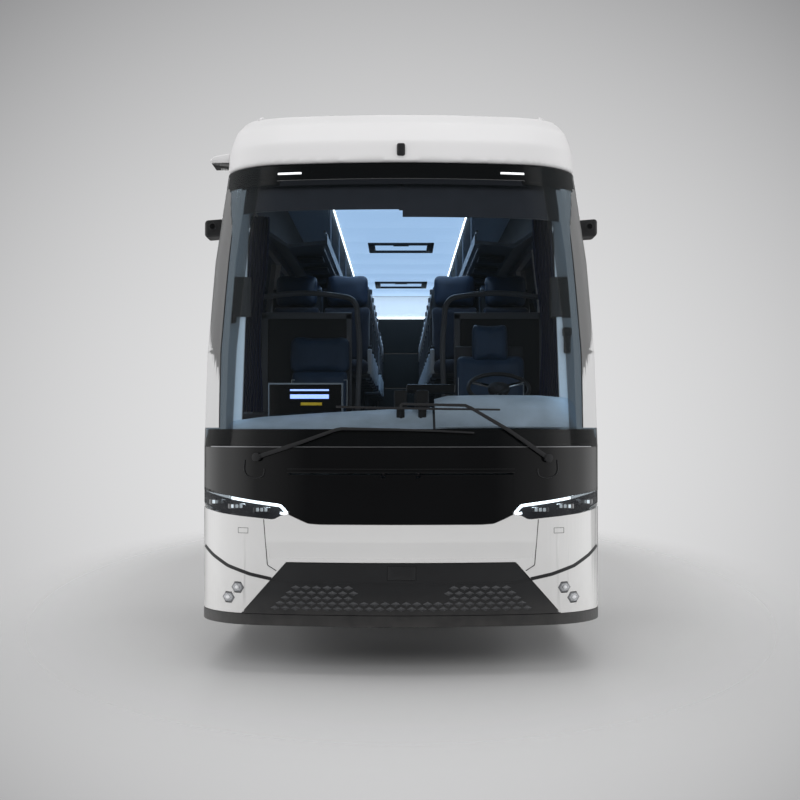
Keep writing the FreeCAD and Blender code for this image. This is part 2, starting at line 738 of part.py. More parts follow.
FORK_LIP = 45.0
NOSE_CROSS_SIDE = 575.0
NOSE_CROSS_HALF = HALF - NOSE_CROSS_SIDE
TAIL_CROSS_SIDE = 375.0
TAIL_CROSS_HALF = HALF - TAIL_CROSS_SIDE
FLAP_CLEAR = 15.0
ENGINE_LENGTH = 1450.0
ENGINE_LEDGE = 20.0
ENGINE_HALF = RAIL_X + ENGINE_LEDGE
ENGINE_SIDE_GAP = 10.0
ENGINE_NARROW = RAIL_X - RAIL_WIDTH / 2 - ENGINE_SIDE_GAP
ENGINE_HEIGHT = 760.0
ENGINE_FOOT_Z = 560.0
ENGINE_BACK = 520.0
BRACKET_BACK = 65.0
BRACKET_HEIGHTS = (SKIRT_Z + PLATE / 2, 520.0)
TOW_BORE = 21.0
TOW_EYE_DEPTH = 60.0
TOW_EYE_HALF = 60.0


def tyre(centre_x, y):
    """Hollow tyre whose beads sit on the rim."""
    half = TYRE_WIDTH / 2
    shoulder = TYRE_RADIUS - TYRE_SHOULDER
    bead = half - TYRE_SHOULDER
    wall = TYRE_SHOULDER / 2
    seat = RIM_RADIUS + SEAT
    flange = seat + RIM_FLANGE
    belly = (shoulder + RIM_RADIUS) / 2
    outline = [
        (-bead, seat), (-bead, flange), (-half, belly), (-half, shoulder), (-bead, TYRE_RADIUS),
        (bead, TYRE_RADIUS), (half, shoulder), (half, belly), (bead, flange), (bead, seat),
        (bead - wall, seat), (half - wall, shoulder - wall),
        (-half + wall, shoulder - wall), (-bead + wall, seat),
    ]
    face = polygon_face([V(centre_x + x, y, WHEEL_Z + r) for x, r in outline])
    return face.revolve(V(centre_x, y, WHEEL_Z), V(1, 0, 0), 360)


def rim(centre_x, y, side, dish):
    """Drop-centre rim with a disc; the dish moves the disc outwards from the middle."""
    half = TYRE_WIDTH / 2 - TYRE_SHOULDER
    inner = RIM_RADIUS - RIM_SKIN
    flange = RIM_RADIUS + RIM_FLANGE
    disc = side * dish
    outline = [
        (-half - RIM_SKIN, flange), (-half - SEAT, flange), (-half - SEAT, RIM_RADIUS),
        (half + SEAT, RIM_RADIUS),
        (half + SEAT, flange), (half + RIM_SKIN, flange), (half + RIM_SKIN, inner), (disc + DISC, inner),
        (disc + DISC, HUB_BORE), (disc - DISC, HUB_BORE), (disc - DISC, inner), (-half - RIM_SKIN, inner),
    ]
    face = polygon_face([V(centre_x + x, y, WHEEL_Z + r) for x, r in outline])
    wheel = face.revolve(V(centre_x, y, WHEEL_Z), V(1, 0, 0), 360)
    for k in range(HAND_HOLES):
        turn = 2 * math.pi * k / HAND_HOLES
        middle = V(centre_x + disc, y + HAND_CIRCLE * math.sin(turn), WHEEL_Z + HAND_CIRCLE * math.cos(turn))
        reach = V(2 * DISC, 0, 0)
        wheel = wheel.cut(rod(middle - reach, middle + reach, HAND_RADIUS))
    return wheel


def hub(x0, x1, y, side):
    """Round hub between two distances from the centreline, bored for its stub."""
    start = V(side * x0, y, WHEEL_Z)
    end = V(side * x1, y, WHEEL_Z)
    return rod(start, end, HUB_RADIUS).cut(rod(start, end, STUB_RADIUS + RUNNING_GAP))


def front_wheel(side):
    """Tyre and rim with hub of one steered wheel."""
    x = side * TYRE_X
    wheel = rim(x, FRONT_AXLE_Y, side, DISC_OFFSET)
    disc_x = TYRE_X + DISC_OFFSET + DISC
    middle = hub(KINGPIN_X + HUB_STAND, disc_x, FRONT_AXLE_Y, side)
    return tyre(x, FRONT_AXLE_Y), joined([wheel, middle])


def rear_wheel(side):
    """Twin tyres, and their rims on one hub."""
    outer_x = TYRE_X
    inner_x = TYRE_X - TWIN_PITCH
    outer = rim(side * outer_x, REAR_AXLE_Y, side, -DISC_OFFSET)
    inner = rim(side * inner_x, REAR_AXLE_Y, side, DISC_OFFSET)
    middle = hub(inner_x - HUB_STAND, outer_x, REAR_AXLE_Y, side)
    tyres = [tyre(side * outer_x, REAR_AXLE_Y), tyre(side * inner_x, REAR_AXLE_Y)]
    return tyres, joined([outer, inner, middle])


def knuckle(side):
    """Kingpin post with its stub axle."""
    y = FRONT_AXLE_Y
    x = side * KINGPIN_X
    post = rod(V(x, y, WHEEL_Z - KNUCKLE_HEIGHT / 2), V(x, y, WHEEL_Z + KNUCKLE_HEIGHT / 2), KNUCKLE_RADIUS)
    stub = rod(V(x, y, WHEEL_Z), V(side * (TYRE_X + DISC_OFFSET), y, WHEEL_Z), STUB_RADIUS)
    body = joined([post, stub])
    return body.cut(rod(V(x, y, 0), V(x, y, ROOF_Z), KINGPIN_RADIUS + RUNNING_GAP))


def front_axle():
    """Dropped beam whose forked ends hold the kingpins."""
    y = FRONT_AXLE_Y
    beam_z = WHEEL_Z - BEAM_DROP
    half = KINGPIN_X - FORK_INSET
    beam = box(-half, y - BEAM_DEPTH / 2, beam_z - BEAM_HEIGHT / 2, half, y + BEAM_DEPTH / 2,
               beam_z + BEAM_HEIGHT / 2)
    parts = [beam]
    reach = KNUCKLE_HEIGHT / 2 + SEAT
    for side in (-1, 1):
        x0, x1 = sorted((side * (half - FORK_PLATE), side * half))
        parts.append(box(x0, y - FORK_LIP, WHEEL_Z - reach - FORK_PLATE, x1, y + FORK_LIP,
                         WHEEL_Z + reach + FORK_PLATE))
        for z in (WHEEL_Z - reach - FORK_PLATE, WHEEL_Z + reach):
            x0, x1 = sorted((side * half, side * KINGPIN_X))
            parts.append(box(x0, y - FORK_LIP, z, x1, y + FORK_LIP, z + FORK_PLATE))
            parts.append(rod(V(side * KINGPIN_X, y, z), V(side * KINGPIN_X, y, z + FORK_PLATE), FORK_LIP))
        pin_low = V(side * KINGPIN_X, y, WHEEL_Z - reach - FORK_PLATE)
        pin_high = V(side * KINGPIN_X, y, WHEEL_Z + reach + FORK_PLATE)
        parts.append(rod(pin_low, pin_high, KINGPIN_RADIUS))
    return joined(parts)


def rear_axle():
    """Drive axle turned in one piece: stubs through the hubs, tubes and a differential housing."""
    end = TYRE_X - DISC_OFFSET - DISC
    shoulder = TYRE_X - TWIN_PITCH - HUB_STAND - SEAT
    half = [(end, SHAFT_BORE), (end, STUB_RADIUS), (shoulder, STUB_RADIUS), (shoulder, TUBE_RADIUS),
            (DIFF_HALF, TUBE_RADIUS), (DIFF_HALF / 2, DIFF_RADIUS)]
    outline = half + [(-x, r) for x, r in reversed(half)]
    face = polygon_face([V(x, REAR_AXLE_Y, WHEEL_Z + r) for x, r in outline])
    return face.revolve(V(0, REAR_AXLE_Y, WHEEL_Z), V(1, 0, 0), 360)


def air_springs():
    """Bellows between the axles and the rails."""
    springs = []
    for y, foot, seat_z in (
        (FRONT_AXLE_Y, WHEEL_Z - BEAM_DROP + BEAM_HEIGHT / 2, RAIL_Z),
        (REAR_AXLE_Y, WHEEL_Z + TUBE_RADIUS, RAIL_Z + REAR_RAIL_RISE),
    ):
        for side in (-1, 1):
            x = side * RAIL_X
            springs.append(rod(V(x, y, foot + SEAT), V(x, y, seat_z - SEAT), SPRING_RADIUS))
    return springs


def rails(y0, y1, z):
    """Pair of longitudinal box rails."""
    half = RAIL_WIDTH / 2
    return [box(x - half, y0, z, x + half, y1, z + RAIL_HEIGHT) for x in (-RAIL_X, RAIL_X)]


def cross_member(y, z, half):
    """Square tube across the coach."""
    return box(-half, y - CROSS / 2, z, half, y + CROSS / 2, z + CROSS)


def uprights(x, y, z0, z1):
    """Pair of square posts, one on each side."""
    return [box(c - CROSS / 2, y, z0, c + CROSS / 2, y + CROSS, z1) for c in (-x, x)]


def rail_frame(nose_y, tail_y, rear_z):
    """Front and rear rails with their cross-members."""
    wide = INSIDE - SEAT
    parts = rails(nose_y, BAY_FRONT_Y, RAIL_Z) + rails(BAY_REAR_Y, tail_y, rear_z)
    high = RAIL_Z + RAIL_HEIGHT - CROSS
    parts.append(cross_member(nose_y + CROSS + CROSS / 2, high, NOSE_CROSS_HALF))
    parts.append(cross_member(FRONT_AXLE_Y - ARCH_RADIUS - CROSS, high, wide))
    parts.append(cross_member(FRONT_AXLE_Y, high, RAIL_X))
    parts.append(cross_member(REAR_AXLE_Y + ARCH_RADIUS + CROSS, rear_z, wide))
    parts.append(cross_member(tail_y - CROSS, rear_z, TAIL_CROSS_HALF))
    return parts


def bay_frame():
    """Flat frame under the luggage floor."""
    z = BAY_FLOOR_Z - PLATE - CROSS
    half = INSIDE - SEAT - FLAP_CLEAR
    places = (BAY_FRONT_Y + CROSS / 2, (BAY_FRONT_Y + BAY_REAR_Y) / 2, BAY_REAR_Y - CROSS / 2)
    parts = [cross_member(y, z, half) for y in places]
    for x in (-RAIL_X, RAIL_X):
        parts.append(box(x - CROSS / 2, BAY_FRONT_Y, z, x + CROSS / 2, BAY_REAR_Y, z + CROSS))
    return parts


def posts_of_frame(nose_y, rear_z):
    """Uprights between the rails, the bay frame and the floors."""
    bay_z = BAY_FLOOR_Z - PLATE - CROSS
    aisle = AISLE_Z - PLATE
    parts = uprights(RAIL_X, BAY_FRONT_Y, bay_z, RAIL_Z + RAIL_HEIGHT)
    parts += uprights(RAIL_X, BAY_REAR_Y - CROSS, bay_z, rear_z + RAIL_HEIGHT)
    parts += uprights(AISLE_HALF, BAY_FRONT_Y, bay_z, aisle)
    parts += uprights(AISLE_HALF, BAY_REAR_Y - CROSS, bay_z, aisle)
    parts += uprights(AISLE_HALF, REAR_AXLE_Y + ARCH_RADIUS + CROSS / 2, rear_z, aisle)
    parts += uprights(RAIL_X, nose_y, RAIL_Z, COCKPIT_Z - PLATE)
    parts += uprights(RAIL_X, COCKPIT_REAR_Y - CROSS, RAIL_Z, COCKPIT_Z - PLATE)
    return parts


def bumper_brackets(nose_y):
    """Posts and arms that carry the bumper in front of the rails."""
    parts = []
    for x in (-RAIL_X - CROSS / 2, RAIL_X - CROSS / 2):
        parts.append(box(x, nose_y, SKIRT_Z + PLATE / 2, x + CROSS, nose_y + CROSS, RAIL_Z))
        for z in BRACKET_HEIGHTS:
            parts.append(box(x, FRONT_Y + BRACKET_BACK, z, x + CROSS, nose_y, z + PLATE))
    return parts


def tow_beam(nose_y):
    """Beam between the rail ends with the bored eye for the towing pin."""
    half = RAIL_X - RAIL_WIDTH / 2
    eye_y = nose_y - TOW_EYE_HALF
    beam = box(-half, nose_y, RAIL_Z, half, nose_y + CROSS, RAIL_Z + RAIL_HEIGHT)
    eye = box(-TOW_EYE_HALF, eye_y - TOW_EYE_HALF, RAIL_Z, TOW_EYE_HALF, nose_y, RAIL_Z + TOW_EYE_DEPTH)
    pin = rod(V(0, eye_y, RAIL_Z), V(0, eye_y, RAIL_Z + TOW_EYE_DEPTH), TOW_BORE)
    return joined([beam, eye]).cut(pin)


def chassis(lip, insert):
    """Welded frame of butted tubes: rails, bay frame, posts, bumper brackets and tow beam."""
    nose_y = FRONT_Y + NOSE_CROSS_BACK
    tail_y = REAR_Y - TAIL_CROSS_BACK
    rear_z = RAIL_Z + REAR_RAIL_RISE
    members = [tow_beam(nose_y)] + rail_frame(nose_y, tail_y, rear_z) + bay_frame()
    members += posts_of_frame(nose_y, rear_z) + bumper_brackets(nose_y)
    return butted(members, (lip, insert))


# Cabin
FRONT_STEPS = 4
MID_STEPS = 4
COCKPIT_SIDE_GAP = 220.0
COCKPIT_SIDE_X = INSIDE - COCKPIT_SIDE_GAP
ENTRY_STEP_Z = BAY_FLOOR_Z
STAIR_MARGIN = 40.0
MID_STAIR_DEPTH = 700.0
LINING_GAP = 8.0
CABIN_REAR_BACK = 380.0
DASH_FRONT_BACK = 260.0
DASH_DEPTH = 420.0
DASH_TOP_Z = 1490.0
DASH_RIGHT_GAP = 290.0
DASH_RIGHT_X = INSIDE - DASH_RIGHT_GAP
DASH_LEFT_GAP = 210.0
DASH_LEFT_X = INSIDE - DASH_LEFT_GAP
BINNACLE_HALF = 330.0
BINNACLE_RISE = 95.0
CONSOLE_GAP = 590.0
CONSOLE_X = CONSOLE_GAP - INSIDE
CONSOLE_HALF = 245.0
CONSOLE_TOP_Z = 1810.0
CONSOLE_DEPTH = 150.0
DRIVER_GAP = 566.0
DRIVER_X = INSIDE - DRIVER_GAP
STEERING_RADIUS = 220.0
STEERING_TUBE = 16.0
STEERING_TILT = math.radians(60.0)
STEERING_HUB = 45.0
STEERING_BACK = 820.0
STEERING_Z = 1780.0
SEAT_DEPTH = 450.0
SEAT_PAD = 110.0
SEAT_HEIGHT = 460.0
BACK_HEIGHT = 1120.0
BACK_THICK = 110.0
BACK_LEAN = 130.0
SEAT_PITCH = 780.0
FIRST_ROW_BACK = 3100.0
FIRST_ROW_Y = FRONT_Y + FIRST_ROW_BACK
BENCH_GAP = 85.0
BENCH_WIDTH = INSIDE - BENCH_GAP - AISLE_HALF - PLATE / 2
PEDESTAL_INSET = 120.0
DRIVER_SEAT_WIDTH = 500.0
DRIVER_SEAT_BACK = 1180.0
DRIVER_SEAT_Y = FRONT_Y + DRIVER_SEAT_BACK
GUIDE_GAP = 600.0
GUIDE_X = GUIDE_GAP - INSIDE
GUIDE_SEAT_WIDTH = 450.0
GUIDE_SEAT_BACK = 1600.0
GUIDE_SEAT_Y = FRONT_Y + GUIDE_SEAT_BACK
PARTITION_TOP_Z = 2550.0
PARTITION_EDGE = 50.0
PARTITION_INNER = 105.0
PARTITION_HALF = (INSIDE - PARTITION_EDGE - AISLE_HALF - PARTITION_INNER) / 2
PARTITION_TUBE = 18.0
PARTITION_X = INSIDE - PARTITION_EDGE - PARTITION_HALF
PARTITION_PANEL = 20.0
RACK_SHARES = ((0.478, 0.8197), (0.714, 0.8115))
RACK_PLATE = 30.0
RACK_LIP = 80.0
RACK_LIP_THICK = 15.0
RACK_STRAP = 10.0
CEILING_SHARE = 0.9454
CEILING_PLATE = 25.0
RACK_START_BACK = 2700.0
BLIND_DROP = 165.0
BLIND_THICK = 12.0
BLIND_GAP = 10.0
MONITOR_INSET = 225.0
MONITOR_X = HALF - MONITOR_INSET
MONITOR_Z = 2370.0
MONITOR_WIDTH = 135.0
MONITOR_HEIGHT = 260.0
MONITOR_THICK = 40.0
POST_RADIUS = 9.0
SENSOR_POST_Z = 1750.0
SENSOR_POSTS_X = (0.0, 125.0)


def stair_steps(x0, x1, y0, y1, z0, z1, count):
    """Flight of solid steps that climbs inwards along X."""
    steps = []
    for k in range(count):
        outer = x0 + (x1 - x0) * k / count
        inner = x0 + (x1 - x0) * (k + 1) / count
        steps.append(box(outer, y0, z0 - PLATE, inner, y1, z0 + (z1 - z0) * k / count))
    return steps


def podium(side, y0, y1):
    """Raised floor under the seats of one side, with the riser along the aisle."""
    wide = INSIDE - LINING_GAP
    return [
        side_box(side, y0, y1, PODIUM_Z - PLATE, PODIUM_Z, AISLE_HALF, wide),
        side_box(side, y0 + PLATE, y1, AISLE_Z - PLATE, PODIUM_Z - PLATE, AISLE_HALF, AISLE_HALF + PLATE),
        side_box(side, y0, y0 + PLATE, AISLE_Z - PLATE, PODIUM_Z - PLATE, AISLE_HALF, wide),
    ]


def cockpit_floor():
    """Low floor round the driver, its rear bulkhead and the front stairs."""
    wide = INSIDE - LINING_GAP
    foot = COCKPIT_Z - PLATE
    door_end = FRONT_DOOR_Y + FRONT_DOOR_WIDTH
    parts = [
        box(-STAIR_X, FRONT_Y + DASH_FRONT_BACK, foot, COCKPIT_SIDE_X, FRONT_DOOR_Y, COCKPIT_Z),
        box(-STAIR_X, FRONT_DOOR_Y, foot, wide, COCKPIT_REAR_Y, COCKPIT_Z),
        box(-wide, door_end, foot, -STAIR_X, COCKPIT_REAR_Y, COCKPIT_Z),
        box(-wide, COCKPIT_REAR_Y, foot, wide, COCKPIT_REAR_Y + PLATE, AISLE_Z - PLATE),
        box(-STAIR_X - PLATE, FRONT_DOOR_Y, ENTRY_STEP_Z - PLATE, -STAIR_X, door_end, COCKPIT_Z),
    ]
    inner = -STAIR_X - PLATE
    return parts + stair_steps(-wide, inner, FRONT_DOOR_Y, door_end, ENTRY_STEP_Z, COCKPIT_Z, FRONT_STEPS)


def mid_stairs():
    """Flight behind the middle door with its landing at aisle height."""
    wide = INSIDE - LINING_GAP
    x = -wide + MID_STAIR_DEPTH
    y = MID_DOOR_Y - STAIR_MARGIN
    parts = stair_steps(-wide, x, y, MID_DOOR_REAR_Y, ENTRY_STEP_Z, AISLE_Z, MID_STEPS)
    parts.append(box(x, y, ENTRY_STEP_Z - PLATE, x + PLATE, MID_DOOR_REAR_Y, AISLE_Z))
    parts.append(box(x + PLATE, y, AISLE_Z - PLATE, -AISLE_HALF, MID_DOOR_REAR_Y, AISLE_Z))
    return parts


def deck(frame):
    """Aisle, podiums, cockpit floor and stairs, laid plate by plate on the frame."""
    rear = REAR_Y - CABIN_REAR_BACK
    parts = [box(-AISLE_HALF, COCKPIT_REAR_Y, AISLE_Z - PLATE, AISLE_HALF, rear, AISLE_Z)]
    parts += podium(1, COCKPIT_REAR_Y, rear)
    parts += podium(-1, COCKPIT_REAR_Y, MID_DOOR_Y - STAIR_MARGIN) + podium(-1, MID_DOOR_REAR_Y, rear)
    return butted(parts + cockpit_floor() + mid_stairs(), frame)


def luggage_floor(frame):
    """Bay floor with its two end bulkheads, notched for the mid-door stairs."""
    wide = INSIDE - FLAP_CLEAR
    foot = BAY_FLOOR_Z - PLATE
    top = AISLE_Z - PLATE - SEAT
    well_x = -INSIDE + LINING_GAP + MID_STAIR_DEPTH + PLATE + SEAT
    well = box(-wide - OVERRUN, MID_DOOR_Y - STAIR_MARGIN - SEAT, 0, well_x, BAY_REAR_Y + SEAT, AISLE_Z)
    plates = [
        box(-wide, BAY_FRONT_Y, foot, wide, BAY_REAR_Y, BAY_FLOOR_Z),
        box(-wide, BAY_FRONT_Y - PLATE, foot, wide, BAY_FRONT_Y, top),
        box(-wide, BAY_REAR_Y, foot, wide, BAY_REAR_Y + PLATE, top),
    ]
    return butted(plates, [well] + frame)


def seat_parts(centre_x, front_y, floor_z, width):
    """Pedestal, cushion and leaning back of one seat, drawn in side view."""
    top = floor_z + SEAT_HEIGHT
    foot = top - SEAT_PAD
    back_top = floor_z + BACK_HEIGHT
    rear = front_y + SEAT_DEPTH
    half = BACK_THICK / 2
    outlines = (
        [(front_y + PEDESTAL_INSET, floor_z), (rear - PEDESTAL_INSET, floor_z), (rear - PEDESTAL_INSET, foot),
         (front_y + PEDESTAL_INSET, foot)],
        [(front_y, foot), (rear - half, foot), (rear - half, top), (front_y, top)],
        [(rear - half, foot), (rear + half, foot), (rear + BACK_LEAN + half, back_top),
         (rear + BACK_LEAN - half, back_top), (rear - half, top)],
    )
    return [side_prism(outline, centre_x - width / 2, centre_x + width / 2) for outline in outlines]


def row_starts(side):
    """Front edges of the passenger cushions on one side, leaving the mid-door stairs free."""
    rear = REAR_Y - CABIN_REAR_BACK - SEAT_DEPTH - BACK_LEAN - BACK_THICK
    count = int((rear - FIRST_ROW_Y) / SEAT_PITCH) + 1
    starts = [FIRST_ROW_Y + k * SEAT_PITCH for k in range(count)]
    if side > 0:
        return starts
    depth = SEAT_DEPTH + BACK_LEAN + BACK_THICK
    return [y for y in starts if y + depth < MID_DOOR_Y - STAIR_MARGIN or y > MID_DOOR_REAR_Y]


def passenger_seats():
    """Double seats on both podiums."""
    seats = []
    for side in (-1, 1):
        x = side * (AISLE_HALF + PLATE / 2 + BENCH_WIDTH / 2)
        for y in row_starts(side):
            seats += seat_parts(x, y, PODIUM_Z + SEAT, BENCH_WIDTH)
    return seats


def crew_seats():
    """Driver's seat and guide's seat."""
    driver = seat_parts(DRIVER_X, DRIVER_SEAT_Y, COCKPIT_Z + SEAT, DRIVER_SEAT_WIDTH)
    return driver + seat_parts(GUIDE_X, GUIDE_SEAT_Y, COCKPIT_Z + SEAT, GUIDE_SEAT_WIDTH)


def dashboard():
    """Dash across the nose with a raised binnacle and a side console."""
    y0 = FRONT_Y + DASH_FRONT_BACK
    y1 = y0 + DASH_DEPTH
    edge_z = DASH_TOP_Z - SCREEN_SILL
    outline = [(y0, SCREEN_FOOT_Z), (y0 + DASH_DEPTH / 2, COCKPIT_Z), (y1, COCKPIT_Z), (y1, edge_z),
               (y1 - SCREEN_SILL, DASH_TOP_Z), (y0, DASH_TOP_Z)]
    dash = side_prism(outline, -DASH_RIGHT_X, DASH_LEFT_X)
    hood = [(y0 + DASH_DEPTH / 3, DASH_TOP_Z), (y1, edge_z), (y1, DASH_TOP_Z + BINNACLE_RISE / 2),
            (y1 - DASH_DEPTH / 4, DASH_TOP_Z + BINNACLE_RISE)]
    binnacle = side_prism(hood, DRIVER_X - BINNACLE_HALF, DRIVER_X + BINNACLE_HALF)
    back = y1 - SEAM
    console = box(CONSOLE_X - CONSOLE_HALF, back, COCKPIT_Z, CONSOLE_X + CONSOLE_HALF, back + CONSOLE_DEPTH,
                  CONSOLE_TOP_Z)
    return joined([dash, binnacle, console])


def steering_wheel():
    """Rim, hub, spokes and column of the steering wheel."""
    centre = V(DRIVER_X, FRONT_Y + STEERING_BACK, STEERING_Z)
    axis = V(0, math.cos(STEERING_TILT), math.sin(STEERING_TILT))
    parts = [Part.makeTorus(STEERING_RADIUS, STEERING_TUBE, centre, axis)]
    parts.append(Part.makeCylinder(STEERING_HUB, 2 * STEERING_TUBE, centre - axis * STEERING_TUBE, axis))
    for turn in (0.0, 2 * math.pi / 3, 4 * math.pi / 3):
        flat = V(math.cos(turn + QUARTER), 0, 0)
        rise = V(0, -math.sin(STEERING_TILT), math.cos(STEERING_TILT)) * math.sin(turn + QUARTER)
        parts.append(rod(centre, centre + (flat + rise) * -STEERING_RADIUS, STEERING_TUBE / 2))
    run = (STEERING_Z - DASH_TOP_Z) / math.sin(STEERING_TILT)
    parts.append(rod(centre, centre - axis * run, STEERING_HUB / 2))
    return joined(parts)


# Fittings outside and doors
ARM_HEIGHTS = (680.0, 1320.0)
PIVOT_INSET = 30.0
ARM_CLEAR = 35.0
COLUMN_EDGE = 45.0
EYE_HALF = 24.0
LUG_THICK = 12.0
LUG_HALF = 40.0
WIPER_RADIUS = 10.0
WIPER_LIFT = 32.0
PIVOT_RADIUS = 22.0
WIPER_ROUTE_SHARES = (
    ((-0.6925, 0.3642), (-0.296, 0.4115), (-0.005, 0.4098), (0.172, 0.4080), (0.349, 0.4046)),
    ((0.7067, 0.3626), (0.312, 0.4503), (0.0, 0.4525), (-0.31, 0.4536)),
)
BLADE_ROUTE_SHARES = ((-0.29, 0.4440), (0.10, 0.4440), (0.4745, 0.4434))
POD_Z = 2850.0
POD_HALF_HEIGHT = 70.0
POD_LENGTH = 220.0
POD_STAND = 40.0
POD_REACH = HALF + POD_STAND
POD_BACK = 790.0
WING_INSET = 7.0
WING_REACH = HALF - WING_INSET
WING_FOOT_Z = 3256.0
WING_TOP_Z = 3330.0
WING_BACK = 760.0
WING_LENGTH = 260.0
ROOF_UNIT_TOP_Z = 3800.0
ROOF_UNIT_SIDE = 455.0
ROOF_UNIT_HALF = HALF - ROOF_UNIT_SIDE
ROOF_UNIT_START = 750.0
ROOF_UNIT_SINK = 48.0
WING_SINK = 30.0
RACK_WALL_FOOT_Z = 3100.0
PARTITION_WINDOW = 320.0
BLIND_SIDE = 255.0
BLIND_REACH = HALF - BLIND_SIDE
DRIVER_BLIND_DROP = 50.0
MONITOR_STAND = 90.0
MONITOR_ARM = 30.0
MONITOR_REACH = 75.0
SENSOR_POST_INSET = 60.0
ROOF_UNIT_LENGTH = 2300.0
ROOF_UNIT_SLOPE = 180.0
HATCH_HALF = 300.0
HATCH_CENTRES = (50.0, 3800.0)
HATCH_RISE = 35.0


def door_geometry(front):
    """Sense of travel, column position and the arm angles of one door."""
    y0, y1 = door_spans()[0 if front else 1][:2]
    sense = -1 if front else 1
    column_y = y0 + COLUMN_EDGE if front else y1 - COLUMN_EDGE
    start = math.asin((INSIDE - PIVOT_INSET - COLUMN_X) / ARM_LENGTH)
    end = math.pi - math.asin((HALF + ARM_CLEAR - COLUMN_X) / ARM_LENGTH)
    return sense, column_y, start, end


def plan_place(column_y, sense, reach, angle, z):
    """Point at some reach from a door column; angle zero lies along the closed arm's side."""
    return V(-COLUMN_X - reach * math.sin(angle), column_y - sense * reach * math.cos(angle), z)


def door_arms(front):
    """Column with its two bent arms, which end in round eyes."""
    sense, column_y, start, end = door_geometry(front)
    top = ARM_HEIGHTS[-1] + LUG_HALF
    parts = [rod(V(-COLUMN_X, column_y, ENTRY_STEP_Z + SEAT), V(-COLUMN_X, column_y, top), COLUMN_RADIUS)]
    elbow_reach = HALF + ARM_CLEAR - COLUMN_X
    for z in ARM_HEIGHTS:
        elbow = plan_place(column_y, sense, elbow_reach, start - end + QUARTER, z)
        pivot = plan_place(column_y, sense, ARM_LENGTH, start, z)
        parts.append(rod(V(-COLUMN_X, column_y, z), elbow, ARM_RADIUS))
        parts.append(Part.makeSphere(ARM_RADIUS, elbow))
        parts.append(rod(elbow, pivot, ARM_RADIUS))
        parts.append(rod(pivot - V(0, 0, EYE_HALF), pivot + V(0, 0, EYE_HALF), ARM_RADIUS))
    return joined(parts)


def door_panes(front):
    """Heights of the panes in one door leaf."""
    top = (FRONT_DOOR_TOP if front else MID_DOOR_TOP) - DOOR_GAP - DOOR_STILE
    return ((DOOR_GLASS_SILL, DOOR_GLASS_SPLIT_Z), (DOOR_UPPER_SILL_Z, top))


def door_leaf(front):
    """Leaf with its glass and the lugs that take the arms' eyes."""
    y0, y1, top = door_spans()[0 if front else 1]
    sense, column_y, start = door_geometry(front)[:3]
    lead, trail = (y0 + DOOR_SEAL, y1 - DOOR_GAP) if front else (y0 + DOOR_GAP, y1 - DOOR_SEAL)
    leaf = side_slab(-1, lead, trail, 0, WALL, DOOR_FOOT_Z, top - DOOR_GAP)
    panes = []
    for z0, z1 in door_panes(front):
        leaf = leaf.cut(side_box(-1, lead + DOOR_STILE, trail - DOOR_STILE, z0, z1))
        panes.append(side_slab(-1, lead + DOOR_STILE + SEAT, trail - DOOR_STILE - SEAT, 0, GLASS, z0 + SEAT,
                               z1 - SEAT))
    lugs = []
    for z in ARM_HEIGHTS:
        pivot = plan_place(column_y, sense, ARM_LENGTH, start, z)
        for low in (z - EYE_HALF - SEAT - LUG_THICK, z + EYE_HALF + SEAT):
            lugs.append(box(-INSIDE, pivot.y - LUG_HALF, low, pivot.x + ARM_RADIUS, pivot.y + LUG_HALF,
                            low + LUG_THICK))
    return leaf.fuse(lugs), panes


def nose_skin_y(x, z):
    """Length position of the outer skin of the nose at a place in front view."""
    nose, half = stations(z)[:2]
    flat = half - HALF + NOSE_FLAT
    if abs(x) <= flat:
        return FRONT_Y + nose + NOSE_RADIUS - math.sqrt(NOSE_RADIUS ** 2 - x ** 2)
    return corner_end(z) - math.sqrt(max(0.0, NOSE_CORNER ** 2 - (abs(x) - half + NOSE_CORNER) ** 2))


def lifted_points(shares, lift):
    """Points on the nose given in front view, lifted forwards off the skin."""
    return [V(x, nose_skin_y(x, z) - lift, z) for x, z in scaled(shares)]


def bent_rod(points, radius):
    """Round bar through several points with round knees."""
    parts = [rod(a, b, radius) for a, b in zip(points, points[1:])]
    parts += [Part.makeSphere(radius, p) for p in points[1:-1]]
    return joined(parts)


def wipers(mask):
    """Two wiper arms with their pivots; the left one ends in its blade, the right one carries its own."""
    result = []
    for route in WIPER_ROUTE_SHARES:
        points = lifted_points(route, WIPER_LIFT)
        arm = bent_rod(points, WIPER_RADIUS)
        shaft = rod(points[0], points[0] + V(0, WIPER_LIFT - SEAT, 0), PIVOT_RADIUS)
        result.append(arm.fuse(shaft).cut(mask))
    blade = bent_rod(lifted_points(BLADE_ROUTE_SHARES, WIPER_LIFT), WIPER_RADIUS)
    link_top = lifted_points((WIPER_ROUTE_SHARES[1][2],), WIPER_LIFT)[0]
    link_foot = lifted_points(((WIPER_ROUTE_SHARES[1][2][0], BLADE_ROUTE_SHARES[0][1]),), WIPER_LIFT)[0]
    result[1] = joined([result[1], blade, rod(link_top, link_foot, WIPER_RADIUS)])
    return result


